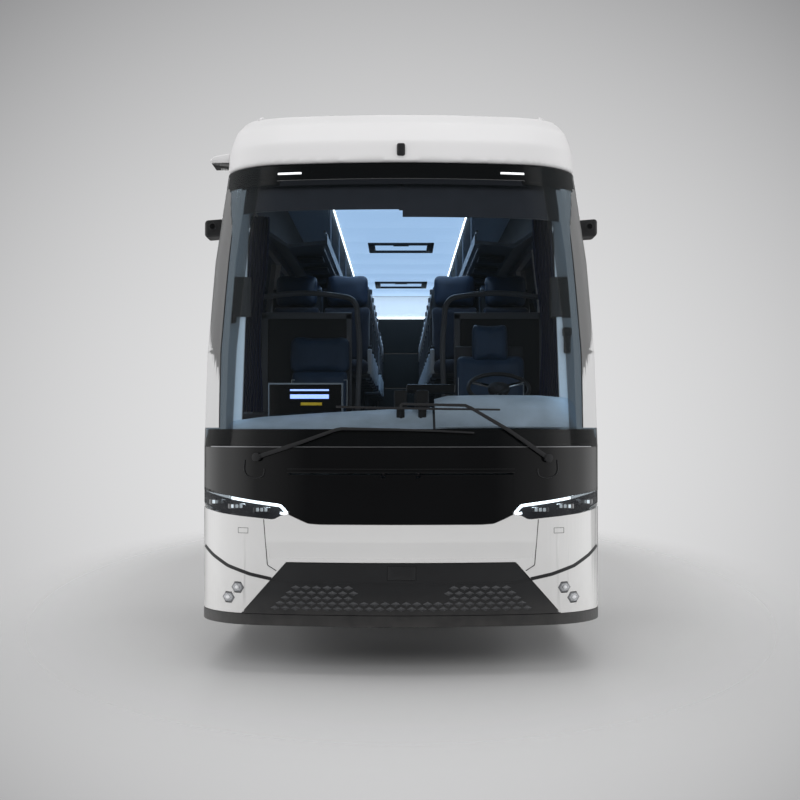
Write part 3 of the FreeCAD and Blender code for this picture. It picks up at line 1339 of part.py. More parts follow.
def camera_pods():
    """Mirror-camera pods over both front posts and the kerb camera wing on the door side."""
    y0 = FRONT_Y + POD_BACK
    pods = []
    skin = stations(POD_Z - POD_HALF_HEIGHT)[1] + SEAT
    top = POD_Z + POD_HALF_HEIGHT
    outline = [(skin, POD_Z - POD_HALF_HEIGHT), (POD_REACH, POD_Z - POD_HALF_HEIGHT / 2), (POD_REACH, top),
               (stations(top)[1] + SEAT, top)]
    for side in (-1, 1):
        pods.append(front_prism([(side * x, z) for x, z in outline], y0, y0 + POD_LENGTH))
    w0 = FRONT_Y + WING_BACK
    half = HALF - TUMBLEHOME
    root = -half + WING_SINK
    wing = [(root, WING_FOOT_Z), (-WING_REACH, WING_FOOT_Z), (-WING_REACH, (WING_FOOT_Z + WING_TOP_Z) / 2),
            (root, WING_TOP_Z)]
    return pods, front_prism(wing, w0, w0 + WING_LENGTH)


def roof_unit(roof):
    """Low air-conditioning housing that sits on the roof."""
    y0 = ROOF_UNIT_START
    y1 = y0 + ROOF_UNIT_LENGTH
    foot = ROOF_Z - ROOF_UNIT_SINK
    waist = (foot + ROOF_UNIT_TOP_Z) / 2
    outline = [(y0, foot), (y1, foot), (y1, waist), (y1 - ROOF_UNIT_SLOPE, ROOF_UNIT_TOP_Z),
               (y0 + ROOF_UNIT_SLOPE, ROOF_UNIT_TOP_Z), (y0, waist)]
    return side_prism(outline, -ROOF_UNIT_HALF, ROOF_UNIT_HALF).cut(roof)


def roof_hatches(roof):
    """Low lids of the two escape hatches."""
    lids = []
    for y in HATCH_CENTRES:
        lid = box(-HATCH_HALF, y - HATCH_HALF, ROOF_Z - ROOF_UNIT_SINK, HATCH_HALF, y + HATCH_HALF,
                  ROOF_Z + HATCH_RISE)
        lids.append(lid.cut(roof))
    return lids


def lining_x(z):
    """Half width of the sloping roof lining at one height."""
    (x0, z0), (x1, z1) = scaled(LINING_SHARES)[1:3]
    return x0 + (x1 - x0) * (z - z0) / (z1 - z0)


def racks():
    """Open luggage racks on both sides: shelf, lip and straps that hang from the ceiling."""
    y0 = FRONT_Y + RACK_START_BACK
    y1 = REAR_Y - LINING_END - SEAT
    (edge_x, edge_z), (knee_x, knee_z) = scaled(RACK_SHARES)
    wall = [(stations(z)[1] - WALL - SEAT, z) for z in (RACK_WALL_FOOT_Z, RACK_WALL_FOOT_Z + RACK_PLATE)]
    knee = (knee_x, knee_z + RACK_PLATE)
    parts = [
        front_prism([(edge_x, edge_z), (knee_x, knee_z), knee, (edge_x, edge_z + RACK_PLATE)], y0, y1),
        front_prism([(knee_x, knee_z)] + wall + [knee], y0, y1),
        box(edge_x - RACK_LIP_THICK, y0, edge_z, edge_x, y1, edge_z + RACK_LIP),
    ]
    strap_x = edge_x - RACK_LIP_THICK / 2
    top = CEILING_SHARE * ROOF_Z - CEILING_PLATE - SEAT
    for bay in window_bays(1):
        y = bay[1] - PILLAR
        parts.append(rod(V(strap_x, y, edge_z + RACK_LIP), V(strap_x, y, top), RACK_STRAP))
    return parts + [mirrored(part) for part in parts]


def ceiling():
    """Flat ceiling panel from lining to lining."""
    top = CEILING_SHARE * ROOF_Z
    foot = top - CEILING_PLATE
    right = [(lining_x(z) - SEAT, z) for z in (foot, top)]
    left = [(-x, z) for x, z in reversed(right)]
    return front_prism(right + left, FRONT_Y + RACK_START_BACK, REAR_Y - LINING_END - SEAT)


def partitions():
    """Tubular hoops with panels behind the driver and behind the guide."""
    result = []
    y = COCKPIT_REAR_Y + PLATE / 2
    for side in (-1, 1):
        x0 = side * (PARTITION_X - PARTITION_HALF)
        x1 = side * (PARTITION_X + PARTITION_HALF)
        foot = PODIUM_Z + SEAT
        top = PARTITION_TOP_Z - PARTITION_TUBE
        hoop = [rod(V(x, y, foot), V(x, y, top), PARTITION_TUBE) for x in (x0, x1)]
        hoop += [rod(V(x0, y, top), V(x1, y, top), PARTITION_TUBE)]
        hoop += [Part.makeSphere(PARTITION_TUBE, V(x, y, top)) for x in (x0, x1)]
        low, high = sorted((x0, x1))
        panel = box(low, y - PARTITION_PANEL / 2, foot, high, y + PARTITION_PANEL / 2, top - PARTITION_WINDOW)
        result.append(joined(hoop + [panel]))
    return result


def sun_blinds():
    """Two roller blinds hanging behind the top of the windscreen."""
    near = WALL + BLIND_GAP
    blinds = []
    spans = ((-BLIND_REACH, -BLIND_GAP, BLIND_DROP), (BLIND_GAP, BLIND_REACH, BLIND_DROP + DRIVER_BLIND_DROP))
    for x0, x1, drop in spans:
        band = nose_wall(CANT_Z - SCREEN_HEADER - drop, CANT_Z - SEAT, near, near + BLIND_THICK)
        blinds.append(band.common(box(x0, FRONT_Y, SKIRT_Z, x1, FRONT_DOOR_Y, ROOF_Z)))
    return blinds


def cab_fittings(posts):
    """Monitors on the corner posts and sensor posts on the dash."""
    fittings = []
    for side in (-1, 1):
        y = corner_end(MONITOR_Z) - MONITOR_STAND
        x = side * MONITOR_X
        case = box(x - MONITOR_WIDTH / 2, y, MONITOR_Z - MONITOR_HEIGHT / 2, x + MONITOR_WIDTH / 2,
                   y + MONITOR_THICK, MONITOR_Z + MONITOR_HEIGHT / 2)
        arm = side_box(side, y, y + MONITOR_ARM, MONITOR_Z, MONITOR_Z + MONITOR_ARM, MONITOR_X,
                       MONITOR_X + MONITOR_WIDTH / 2 + MONITOR_REACH)
        fittings.append(case.fuse(arm).cut(posts))
    for x in SENSOR_POSTS_X:
        y = FRONT_Y + DASH_FRONT_BACK + SENSOR_POST_INSET
        fittings.append(rod(V(x, y, DASH_TOP_Z + SEAT), V(x, y, SENSOR_POST_Z), POST_RADIUS))
    return fittings


def engine():
    """Engine and gearbox as one plain block."""
    y1 = REAR_Y - ENGINE_BACK
    foot = RAIL_Z + REAR_RAIL_RISE
    low = box(-ENGINE_NARROW, y1 - ENGINE_LENGTH, ENGINE_FOOT_Z, ENGINE_NARROW, y1, foot + RAIL_HEIGHT)
    high = box(-ENGINE_HALF, y1 - ENGINE_LENGTH, foot + RAIL_HEIGHT + SEAT, ENGINE_HALF, y1,
               ENGINE_FOOT_Z + ENGINE_HEIGHT)
    neck = box(-ENGINE_NARROW, y1 - ENGINE_LENGTH, foot, ENGINE_NARROW, y1, ENGINE_FOOT_Z + ENGINE_HEIGHT)
    return joined([low, high, neck])


def build_front():
    """Write the front of the body and the glass round it; give back the pieces others are fitted to."""
    front = front_pieces()
    export("bumper_lip", [front["lip"]])
    export("bumper_insert", [front["insert"]])
    export("front_mask", [front["mask"]])
    export("headlamps", front["lamps"])
    export("corner_lamps", front["spots"])
    export("front_lid_panel", [front["upper"]])
    export("front_lid_apron", [front["lower"]])
    posts = screen_frame()
    export("screen_frame", [posts])
    export("windscreen", [windscreen()])
    export("wipers", wipers(front["mask"]))
    return front, posts


def build_sides():
    """Write the side walls, flaps, doors and wheels."""
    for name, side in (("left", 1), ("right", -1)):
        export("side_wall_" + name, [side_wall(side)])
        for number, (y0, y1) in enumerate(flap_spans(side), 1):
            export("luggage_flap_" + name + "_" + str(number), [luggage_flap(side, y0, y1)])
        tyre_solid, rim_solid = front_wheel(side)
        export("front_tyre_" + name, [tyre_solid])
        export("front_rim_" + name, [rim_solid])
        tyres, rim_pair = rear_wheel(side)
        export("rear_tyres_" + name, tyres)
        export("rear_rims_" + name, [rim_pair])
        export("knuckle_" + name, [knuckle(side)])
    export("side_windows", side_glass(1) + side_glass(-1))
    for name, is_front in (("front_door", True), ("mid_door", False)):
        leaf, panes = door_leaf(is_front)
        export(name + "_leaf", [leaf])
        export(name + "_glass", panes)
        export(name + "_arms", [door_arms(is_front)])


def build_rear_and_roof():
    """Write the rear wall, the roof and what stands on them."""
    wall, lamps = tail_pieces()
    export("rear_wall", [wall])
    export("tail_lamps", lamps)
    export("rear_window", [tail_glass()])
    export("engine_lid", [engine_lid()])
    cap, roof = roof_pieces()
    export("roof_cap", [cap])
    export("roof", [roof])
    export("roof_unit", [roof_unit(roof)])
    export("roof_hatches", roof_hatches(roof))
    pods, wing = camera_pods()
    export("camera_pods", pods + [wing.cut(cap)])


def build_chassis(front):
    """Write the axles, the frame, the floors and the engine."""
    axle = rear_axle()
    export("front_axle", [front_axle()])
    export("rear_axle", [axle])
    export("air_springs", [spring.cut(axle) for spring in air_springs()])
    frame = chassis(front["lip"], front["insert"])
    export("chassis_frame", frame)
    export("deck", deck(frame))
    export("luggage_floor", luggage_floor(frame))
    export("engine", [engine()])


def build_cabin(posts):
    """Write what stands and hangs in the cabin."""
    dash = dashboard()
    export("dashboard", [dash])
    export("steering_wheel", [steering_wheel().cut(dash)])
    export("crew_seats", crew_seats())
    export("passenger_seats", passenger_seats())
    export("partitions", partitions())
    export("luggage_racks", racks())
    export("ceiling", [ceiling()])
    export("sun_blinds", sun_blinds())
    export("cab_fittings", cab_fittings(posts))


nose_pieces, screen_posts = build_front()
build_sides()
build_rear_and_roof()
build_chassis(nose_pieces)
build_cabin(screen_posts)
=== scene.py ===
# %% [markdown]
# # A high-deck touring coach, dressed in Blender
#
# The solids of the coach come from CAD, packed as one frame. This lesson loads them, gives
# each one a finish, and models the trim, lamps, seats and small fittings that CAD leaves out.
# Everything is in metres: the coach faces -Y, its left side is +X, and +Z is up.

# %% Load the frame
import math
import bpy
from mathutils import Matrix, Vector


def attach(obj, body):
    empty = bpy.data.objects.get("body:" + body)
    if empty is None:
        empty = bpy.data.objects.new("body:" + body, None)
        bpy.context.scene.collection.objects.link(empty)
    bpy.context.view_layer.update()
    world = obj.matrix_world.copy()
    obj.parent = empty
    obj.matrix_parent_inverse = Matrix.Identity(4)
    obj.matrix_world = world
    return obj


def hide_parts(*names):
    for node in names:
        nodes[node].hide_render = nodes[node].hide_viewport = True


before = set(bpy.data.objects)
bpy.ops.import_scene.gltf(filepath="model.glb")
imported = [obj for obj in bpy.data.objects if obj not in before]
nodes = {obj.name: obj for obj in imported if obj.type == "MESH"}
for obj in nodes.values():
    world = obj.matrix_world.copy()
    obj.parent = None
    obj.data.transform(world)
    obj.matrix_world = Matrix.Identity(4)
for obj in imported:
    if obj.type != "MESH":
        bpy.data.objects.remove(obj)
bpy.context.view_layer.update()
print("frame holds", len(nodes), "nodes")

# %% [markdown]
# ## Helpers for modelling
#
# An operator acts on everything that is selected, so each piece starts from a clean
# selection. A finished piece keeps its place in its mesh and its object at the origin,
# because the exported model puts every object there. `done` does that for each piece,
# smooths its soft edges, names its finish and makes it ride on its body.

# %% Selection, finishing and riding
SMOOTH_ANGLE = math.radians(32)
PAD_ANGLE = math.radians(60)
MERGE_GAP = 0.00005


def alone(piece):
    """Selects one object only and makes it active."""
    bpy.ops.object.select_all(action="DESELECT")
    piece.select_set(True)
    bpy.context.view_layer.objects.active = piece
    return piece


def into_scene(piece):
    """Links a new object into the scene and selects it."""
    bpy.context.scene.collection.objects.link(piece)
    return alone(piece)


def copy_of(piece):
    """A copy of a piece with its own mesh."""
    copy = piece.copy()
    copy.data = piece.data.copy()
    return into_scene(copy)


def done(piece, name, finish, body="coach", angle=SMOOTH_ANGLE):
    """Names a piece, puts its place into its mesh, smooths it and makes it ride."""
    piece.name = piece.data.name = name.replace(" ", "_")
    alone(piece)
    bpy.ops.object.transform_apply(location=True, rotation=True, scale=True)
    bpy.ops.object.shade_smooth_by_angle(angle=angle)
    piece.data.materials.clear()
    piece.data.materials.append(finish)
    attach(piece, body)
    return piece


def apply_modifier(piece, kind, **settings):
    """Adds a modifier with its settings and applies it at once."""
    alone(piece)
    modifier = piece.modifiers.new(kind.title(), kind)
    for key, value in settings.items():
        setattr(modifier, key, value)
    bpy.ops.object.modifier_apply(modifier=modifier.name)
    return piece


def bevelled(piece, width, segments=2):
    """Rounds the sharp edges of a piece."""
    return apply_modifier(piece, "BEVEL", width=width, segments=segments, limit_method="ANGLE")


print("pieces can be finished")


# %% Blocks, bars and tubes
def block(low, high, bevel=0.0, segments=2):
    """A box between two corners with rounded edges."""
    bpy.ops.object.select_all(action="DESELECT")
    low, high = Vector(low), Vector(high)
    bpy.ops.mesh.primitive_cube_add(size=1, location=(low + high) / 2, scale=high - low)
    piece = bpy.context.object
    bpy.ops.object.transform_apply(location=True, rotation=True, scale=True)
    if bevel:
        bevelled(piece, bevel, segments)
    return piece


def bar(start, end, radius, sides=16, bevel=0.0):
    """A round bar between two points."""
    start, end = Vector(start), Vector(end)
    run = end - start
    turn = run.to_track_quat("Z", "Y").to_euler()
    bpy.ops.object.select_all(action="DESELECT")
    bpy.ops.mesh.primitive_cylinder_add(vertices=sides, radius=radius, depth=run.length,
                                        location=(start + end) / 2, rotation=turn)
    piece = bpy.context.object
    bpy.ops.object.transform_apply(location=True, rotation=True, scale=True)
    if bevel:
        bevelled(piece, bevel)
    return piece


def tube(points, radius, resolution=3, smooth=True, closed=False):
    """A bent round tube through several points."""
    curve = bpy.data.curves.new("route", "CURVE")
    curve.dimensions = "3D"
    curve.bevel_depth = radius
    curve.bevel_resolution = resolution
    curve.use_fill_caps = True
    spline = curve.splines.new("BEZIER" if smooth else "POLY")
    knots = spline.bezier_points if smooth else spline.points
    knots.add(len(points) - 1)
    for knot, point in zip(knots, points):
        if smooth:
            knot.co = point
            knot.handle_left_type = knot.handle_right_type = "AUTO"
        else:
            knot.co = (*point, 1)
    spline.use_cyclic_u = closed
    spline.resolution_u = 6
    into_scene(bpy.data.objects.new("route", curve))
    bpy.ops.object.convert(target="MESH")
    return bpy.context.object


def joined(pieces):
    """Several mesh objects made one."""
    alone(pieces[0])
    for piece in pieces[1:]:
        piece.select_set(True)
    if len(pieces) > 1:
        bpy.ops.object.join()
    return bpy.context.object


def prism(outline, axis, start, end, bevel=0.0, segments=2):
    """A flat outline drawn across one axis and extruded along it."""
    bpy.ops.object.select_all(action="DESELECT")
    bpy.ops.mesh.primitive_circle_add(vertices=len(outline), radius=1, fill_type="NGON")
    piece = bpy.context.object
    for vertex, (a, b) in zip(piece.data.vertices, outline):
        vertex.co = {"X": (start, a, b), "Y": (a, start, b), "Z": (a, b, start)}[axis]
    run = [0.0, 0.0, 0.0]
    run["XYZ".index(axis)] = end - start
    bpy.ops.object.mode_set(mode="EDIT")
    bpy.ops.mesh.select_all(action="SELECT")
    bpy.ops.mesh.extrude_region_move(TRANSFORM_OT_translate={"value": run})
    bpy.ops.mesh.select_all(action="SELECT")
    bpy.ops.mesh.normals_make_consistent(inside=False)
    bpy.ops.object.mode_set(mode="OBJECT")
    if bevel:
        bevelled(piece, bevel, segments)
    return piece


print("block, bar and tube recipes ready")

# %% Grids from rows of points
def mesh_of(corners, faces):
    """A mesh object from its corners and faces."""
    mesh = bpy.data.meshes.new("sheet")
    mesh.from_pydata([tuple(point) for point in corners], [], faces)
    return into_scene(bpy.data.objects.new("sheet", mesh))


def sheet_of(rows):
    """A sheet of quads through rows of points that have the same count."""
    across = len(rows[0])
    faces = [(low + c, low + c + 1, low + across + c + 1, low + across + c)
             for low in range(0, across * (len(rows) - 1), across) for c in range(across - 1)]
    return mesh_of([point for row in rows for point in row], faces)


def thicken(piece, depth, offset=-1.0):
    """Gives a sheet its wall; offset -1 grows it away from its outer face."""
    return apply_modifier(piece, "SOLIDIFY", thickness=depth, offset=offset, use_even_offset=True)


def mirrored(piece):
    """A copy of a piece on the other side of the coach, turned the right way out."""
    copy = copy_of(piece)
    for vertex in copy.data.vertices:
        vertex.co.x = -vertex.co.x
    copy.data.flip_normals()
    return copy


def moved(piece, shift):
    """A copy of a piece at another place, with its own mesh."""
    copy = copy_of(piece)
    for vertex in copy.data.vertices:
        vertex.co += Vector(shift)
    return copy


def smooth_copy(node, finish):
    """A copy of a CAD node with its corners merged, so that curved faces shade softly."""
    copy = copy_of(nodes[node])
    for key in list(copy.keys()):
        del copy[key]
    copy.parent = None
    bpy.ops.object.mode_set(mode="EDIT")
    bpy.ops.mesh.select_all(action="SELECT")
    bpy.ops.mesh.remove_doubles(threshold=MERGE_GAP)
    bpy.ops.object.mode_set(mode="OBJECT")
    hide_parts(node)
    return done(copy, node + "_skin", finish)


print("helpers ready")

# %% [markdown]
# ## The shape of the nose
#
# The front is one curved skin: a shallow arc across, rounder corners, and a lean that
# grows with height. Trim that lies on it needs the skin's place at any point, so the same
# rule that shaped the solids is written here once.

# %% Skin of the nose
FRONT_Y = -6.05
HALF = 1.275
NOSE_RADIUS = 4.0
NOSE_FLAT = 0.9
NOSE_CORNER = (HALF - NOSE_FLAT) / (1 - NOSE_FLAT / NOSE_RADIUS)
NOSE_TURN = math.cos(math.asin(NOSE_FLAT / NOSE_RADIUS))
SCREEN_FOOT = 1.394
CANT = 3.19
LEAN_ROWS = ((0.0, 0.0, 0.0), (0.34, 0.19, 0.11), (0.67, 0.52, 0.42), (1.0, 1.0, 1.0))
NOSE_RAKE = 0.27
TUMBLEHOME = 0.122


def lean(z):
    """Setback of the nose and loss of half width at one height."""
    up = max(0.0, (z - SCREEN_FOOT) / (CANT - SCREEN_FOOT))
    for low, high in zip(LEAN_ROWS, LEAN_ROWS[1:]):
        if up <= high[0] or high[0] == 1.0:
            part = (up - low[0]) / (high[0] - low[0])
            nose = low[1] + (high[1] - low[1]) * part
            tumble = low[2] + (high[2] - low[2]) * part
            return nose * NOSE_RAKE, tumble * TUMBLEHOME


def half_width(z):
    """Half width of the body at one height."""
    return HALF - lean(z)[1]


def nose_y(x, z):
    """Length position of the skin of the nose."""
    back, tumble = lean(z)
    x = min(abs(x), HALF - tumble)
    if x <= NOSE_FLAT - tumble:
        return FRONT_Y + back + NOSE_RADIUS - math.sqrt(NOSE_RADIUS ** 2 - x ** 2)
    middle_x = HALF - tumble - NOSE_CORNER
    middle_y = FRONT_Y + back + NOSE_RADIUS * (1 - NOSE_TURN) + NOSE_CORNER * NOSE_TURN
    return middle_y - math.sqrt(max(0.0, NOSE_CORNER ** 2 - (x - middle_x) ** 2))


def on_nose(x, z, lift=0.0):
    """A point on the skin, lifted off it along its normal."""
    step = 0.004
    across = Vector((step * 2, nose_y(x + step, z) - nose_y(x - step, z), 0))
    up = Vector((0, nose_y(x, z + step) - nose_y(x, z - step), step * 2))
    return Vector((x, nose_y(x, z), z)) + across.cross(up).normalized() * lift


def resample(points, count):
    """Evenly spaced points along a broken line."""
    points = [Vector(p) for p in points]
    spans = [(b - a).length for a, b in zip(points, points[1:])]
    total = sum(spans)
    result = []
    for k in range(count):
        far = total * k / (count - 1)
        for index, run in enumerate(spans):
            if far <= run or index == len(spans) - 1:
                result.append(points[index].lerp(points[index + 1], min(1.0, far / run)))
                break
            far -= run
    return result


def nose_sheet(top, foot, lift, depth, across=24, rows=3):
    """A plate on the nose between an upper and a lower line drawn in front view."""
    upper = resample(top, across)
    lower = resample(foot, across)
    grid = []
    for r in range(rows):
        share = r / (rows - 1)
        line = [low.lerp(high, share) for low, high in zip(lower, upper)]
        grid.append([on_nose(p.x, p.y, lift) for p in line])
    return thicken(sheet_of(grid), depth)


def band_edges(line, width, taper=1.0):
    """Upper and lower edge of a strip along a line of points, with its width at the end as a share."""
    upper, lower = [], []
    last = len(line) - 1
    for k, point in enumerate(line):
        ahead = line[min(k + 1, last)] - line[max(k - 1, 0)]
        share = 1 + (taper - 1) * k / last
        side = Vector((-ahead.y, ahead.x)).normalized() * width * share / 2
        upper.append(point + side)
        lower.append(point - side)
    return upper, lower


def nose_band(line, width, lift, depth, across=24):
    """A strip of even width on the nose along a line drawn in front view."""
    upper, lower = band_edges(resample(line, across), width)
    return nose_sheet(upper, lower, lift, depth, across, 2)


def nose_frame(x0, x1, z0, z1, width, lift, depth):
    """Four strips round a rectangle on the nose, corner to corner."""
    return [nose_band(line, width, lift, depth, 6) for line in
            ([(x0, z1), (x1, z1)], [(x0, z0), (x1, z0)], [(x0, z0), (x0, z1)], [(x1, z0), (x1, z1)])]


def level(z, reach):
    """A level front-view line that reaches as far on both sides."""
    return [(-reach, z), (reach, z)]


def flipped(line):
    """A front-view line on the other side of the coach, kept running left to right."""
    return [(-x, z) for x, z in reversed(line)]


print("skin at the sill: middle", round(nose_y(0, SCREEN_FOOT), 3), "corner", round(nose_y(1.27, SCREEN_FOOT), 3))

# %% [markdown]
# ## Camera, floor and light
#
# The coach is seen head on from 8.5 m, at a standing person's eye height, with a lens a
# little longer than normal. The backdrop is a pale studio grey that darkens outwards, a pool
# of light painted round the coach. It belongs to the world and is seen only by the camera
# and through glass, so it adds no light to the coach. Paint and metal mirror a plainer room,
# dark ahead and behind and bright at both sides. The floor fades into the backdrop and keeps
# the soft shadow.

# %% Camera
SENSOR = 36.0
FOCAL_PIXELS = 1393.0
FRAME_PIXELS = 800.0
HORIZON_DROP = 30.0
EYE_HEIGHT = 1.5
EYE_DISTANCE = 8.5
ASIDE_PIXELS = 1.0

lens_data = bpy.data.cameras.new("eye")
lens_data.sensor_width = SENSOR
lens_data.lens = SENSOR * FOCAL_PIXELS / FRAME_PIXELS
eye = into_scene(bpy.data.objects.new("eye", lens_data))
eye.location = (0.0, FRONT_Y - EYE_DISTANCE, EYE_HEIGHT)
eye.rotation_euler = (math.pi / 2 + math.atan(HORIZON_DROP / FOCAL_PIXELS), 0,
                      math.atan(ASIDE_PIXELS / FOCAL_PIXELS))
bpy.context.scene.camera = eye
bpy.context.scene.view_settings.view_transform = "Standard"
print("lens", round(lens_data.lens, 1), "mm")


# %% Node helpers
def new_finish(name):
    """A material with its node tree and its Principled shader."""
    finish = bpy.data.materials.new(name)
    finish.use_nodes = True
    return finish, finish.node_tree, finish.node_tree.nodes["Principled BSDF"]


def feed(tree, socket, value):
    """Gives a socket a number, a colour or the output of another node."""
    if isinstance(value, bpy.types.NodeSocket):
        tree.links.new(value, socket)
    elif socket.type == "RGBA":
        socket.default_value = (*value, 1)
    else:
        socket.default_value = value


def add(tree, kind, *first, **named):
    """A node; its first inputs are given in their order, other inputs and settings by their names."""
    node = tree.nodes.new("ShaderNode" + kind)
    for socket, value in zip(node.inputs, first):
        feed(tree, socket, value)
    for key, value in named.items():
        title = key.replace("_", " ").title()
        if title in node.inputs:
            feed(tree, node.inputs[title], value)
        else:
            setattr(node, key, value)
    return node


def calc(tree, operation, *values, clamp=False):
    """What a Math node makes of sockets or numbers."""
    return add(tree, "Math", *values, operation=operation, use_clamp=clamp).outputs[0]


def ramp_of(tree, share, *stops):
    """A colour between two stops of (position, colour)."""
    ramp = add(tree, "ValToRGB", share)
    for element, (place, colour) in zip(ramp.color_ramp.elements, stops):
        element.position = place
        element.color = (*colour, 1)
    return ramp.outputs[0]


def spread(tree, value, low, high):
    """A value from 0 to 1 spread between two numbers."""
    return add(tree, "MapRange", value, to_min=low, to_max=high).outputs[0]


def metres(tree):
    """Object coordinates, which are metres here."""
    return add(tree, "TexCoord").outputs["Object"]


print("node recipes ready")

# %% Backdrop and ambient light
BACKDROP_TURN_LOSS = 2.2
BACKDROP_RISE_LOSS = 3.0
HORIZON_LIFT = 0.02
AMBIENT = 0.42

world = bpy.data.worlds.new("studio")
bpy.context.scene.world = world
world.use_nodes = True
tree = world.node_tree
tree.nodes.clear()
parts = add(tree, "SeparateXYZ", add(tree, "TexCoord").outputs["Generated"])
side = calc(tree, "ABSOLUTE", parts.outputs["X"])
ahead = calc(tree, "ABSOLUTE", parts.outputs["Y"])
larger = calc(tree, "ADD", calc(tree, "MAXIMUM", side, ahead), 0.001)
turn = calc(tree, "DIVIDE", calc(tree, "MINIMUM", side, ahead), larger)
rise = calc(tree, "ABSOLUTE", calc(tree, "ADD", parts.outputs["Z"], HORIZON_LIFT))
far_turn = calc(tree, "MULTIPLY", calc(tree, "POWER", turn, 2.0), BACKDROP_TURN_LOSS)
far_rise = calc(tree, "MULTIPLY", calc(tree, "POWER", rise, 2.0), BACKDROP_RISE_LOSS)
far = calc(tree, "ADD", far_turn, far_rise, clamp=True)
# The backdrop's falloff, from bright behind the coach to grey at the edges, is a painted pool of light.
backdrop = ramp_of(tree, far, (0.0, (0.78, 0.78, 0.785)), (0.55, (0.22, 0.22, 0.225)))
mirrored_room = ramp_of(tree, side, (0.35, (0.06, 0.06, 0.06)), (0.95, (0.95, 0.95, 0.95)))
soft, seen, room = (add(tree, "Background", colour, strength).outputs[0] for colour, strength in
                    (((1, 1, 1), AMBIENT), (backdrop, 1.0), (mirrored_room, 1.0)))
rays = add(tree, "LightPath").outputs
looked = calc(tree, "MAXIMUM", rays["Is Camera Ray"], rays["Is Transmission Ray"])
choice = add(tree, "MixShader", looked, soft, seen).outputs[0]
last = add(tree, "MixShader", rays["Is Glossy Ray"], choice, room).outputs[0]
add(tree, "OutputWorld", last)
print("backdrop made")

# %% Floor
FLOOR_REACH = 40.0
FADE_START, FADE_END = 0.62, 1.25

bpy.ops.object.select_all(action="DESELECT")
bpy.ops.mesh.primitive_plane_add(size=2 * FLOOR_REACH)
floor = bpy.context.object
floor.name = "studio floor"
finish, tree, shader = new_finish("studio floor")
shader.inputs["Base Color"].default_value = (0.465, 0.465, 0.468, 1)
shader.inputs["Roughness"].default_value = 0.55
oval = add(tree, "Mapping", metres(tree), scale=(0.30, 0.125, 1.0))
from_middle = add(tree, "VectorMath", oval.outputs[0], operation="LENGTH").outputs["Value"]
fade = add(tree, "MapRange", from_middle, from_min=FADE_START, from_max=FADE_END, interpolation_type="SMOOTHSTEP")
clear = add(tree, "BsdfTransparent")
mix = add(tree, "MixShader", fade.outputs[0], shader.outputs[0], clear.outputs[0])
feed(tree, tree.nodes["Material Output"].inputs["Surface"], mix.outputs[0])
floor.data.materials.append(finish)
print("floor laid")


# %% Lamps
def softbox(name, place, aim, width, height, power, colour=(1, 1, 1), mirrored=True):
    """A large area lamp that looks at a point."""
    data = bpy.data.lights.new(name, "AREA")
    data.shape = "RECTANGLE"
    data.size = width
    data.size_y = height
    data.energy = power
    data.color = colour
    lamp = into_scene(bpy.data.objects.new(name, data))
    lamp.location = place
    lamp.rotation_euler = (Vector(aim) - Vector(place)).to_track_quat("-Z", "Y").to_euler()
    lamp.visible_glossy = mirrored


softbox("ceiling light", (0, -1.0, 9.0), (0, -0.5, 0), 7.0, 15.0, 640, mirrored=False)
softbox("front light", (0, -15.0, 5.5), (0, -6, 1.2), 9.0, 4.0, 380, mirrored=False)
softbox("left light", (9.5, -1.8, 2.9), (0, -1.8, 1.6), 6.4, 5.2, 520, mirrored=False)
softbox("right light", (-9.5, -1.8, 2.9), (0, -1.8, 1.6), 6.4, 5.2, 520, mirrored=False)
softbox("cabin light", (0, 0.9, 3.40), (0, 0.9, 0), 0.9, 8.6, 26, (0.55, 0.76, 1.0))
softbox("rear light", (0, 14.0, 5.0), (0, 6, 1.5), 8.0, 4.0, 300)
print("stage ready")

# %% [markdown]
# ## Finishes
#
# Every real surface varies a little: paint has orange peel and a film of road dust low
# down, moulded plastic has a fine grain, rubber is dusty, cloth has a weave. One helper
# makes a shader with its colour varied by soft noise and its surface roughened by fine
# noise, and each finish then adds what is its own. All patterns read Object coordinates,
# which are metres here, so a scale is the number of patches per metre.

# %% Recipe of a finish, and what is laid over it
COAT_ROUGHNESS = 0.03
GLOSS_DRIFT = 0.15
DUST_SHARE = 0.35


def finish_of(name, colour, roughness, metallic=0.0, coat=0.0, vary=0.06, patch=3.0, grain=0.0,
              grain_scale=400.0, specular=0.5):
    """A finish whose colour drifts softly and whose surface has a fine grain."""
    finish, tree, shader = new_finish(name)
    shader.inputs["Metallic"].default_value = metallic
    shader.inputs["Coat Weight"].default_value = coat
    shader.inputs["Coat Roughness"].default_value = COAT_ROUGHNESS
    shader.inputs["Specular IOR Level"].default_value = specular
    clouds = add(tree, "TexNoise", metres(tree), scale=patch, detail=4.0).outputs["Fac"]
    low = [c * (1 - vary) for c in colour]
    high = [min(1.0, c * (1 + vary)) for c in colour]
    feed(tree, shader.inputs["Base Color"], ramp_of(tree, clouds, (0.3, low), (0.7, high)))
    gloss = spread(tree, clouds, roughness * (1 - GLOSS_DRIFT), min(1.0, roughness * (1 + GLOSS_DRIFT)))
    feed(tree, shader.inputs["Roughness"], gloss)
    if grain:
        fine = add(tree, "TexNoise", metres(tree), scale=grain_scale, detail=2.0)
        embossed(finish, fine.outputs["Fac"], grain)
    return finish


def embossed(finish, height, strength, depth=0.001):
    """Fine relief on a finish from the heights of a pattern."""
    tree = finish.node_tree
    bump = add(tree, "Bump", strength=strength, distance=depth, height=height)
    feed(tree, tree.nodes["Principled BSDF"].inputs["Normal"], bump.outputs[0])


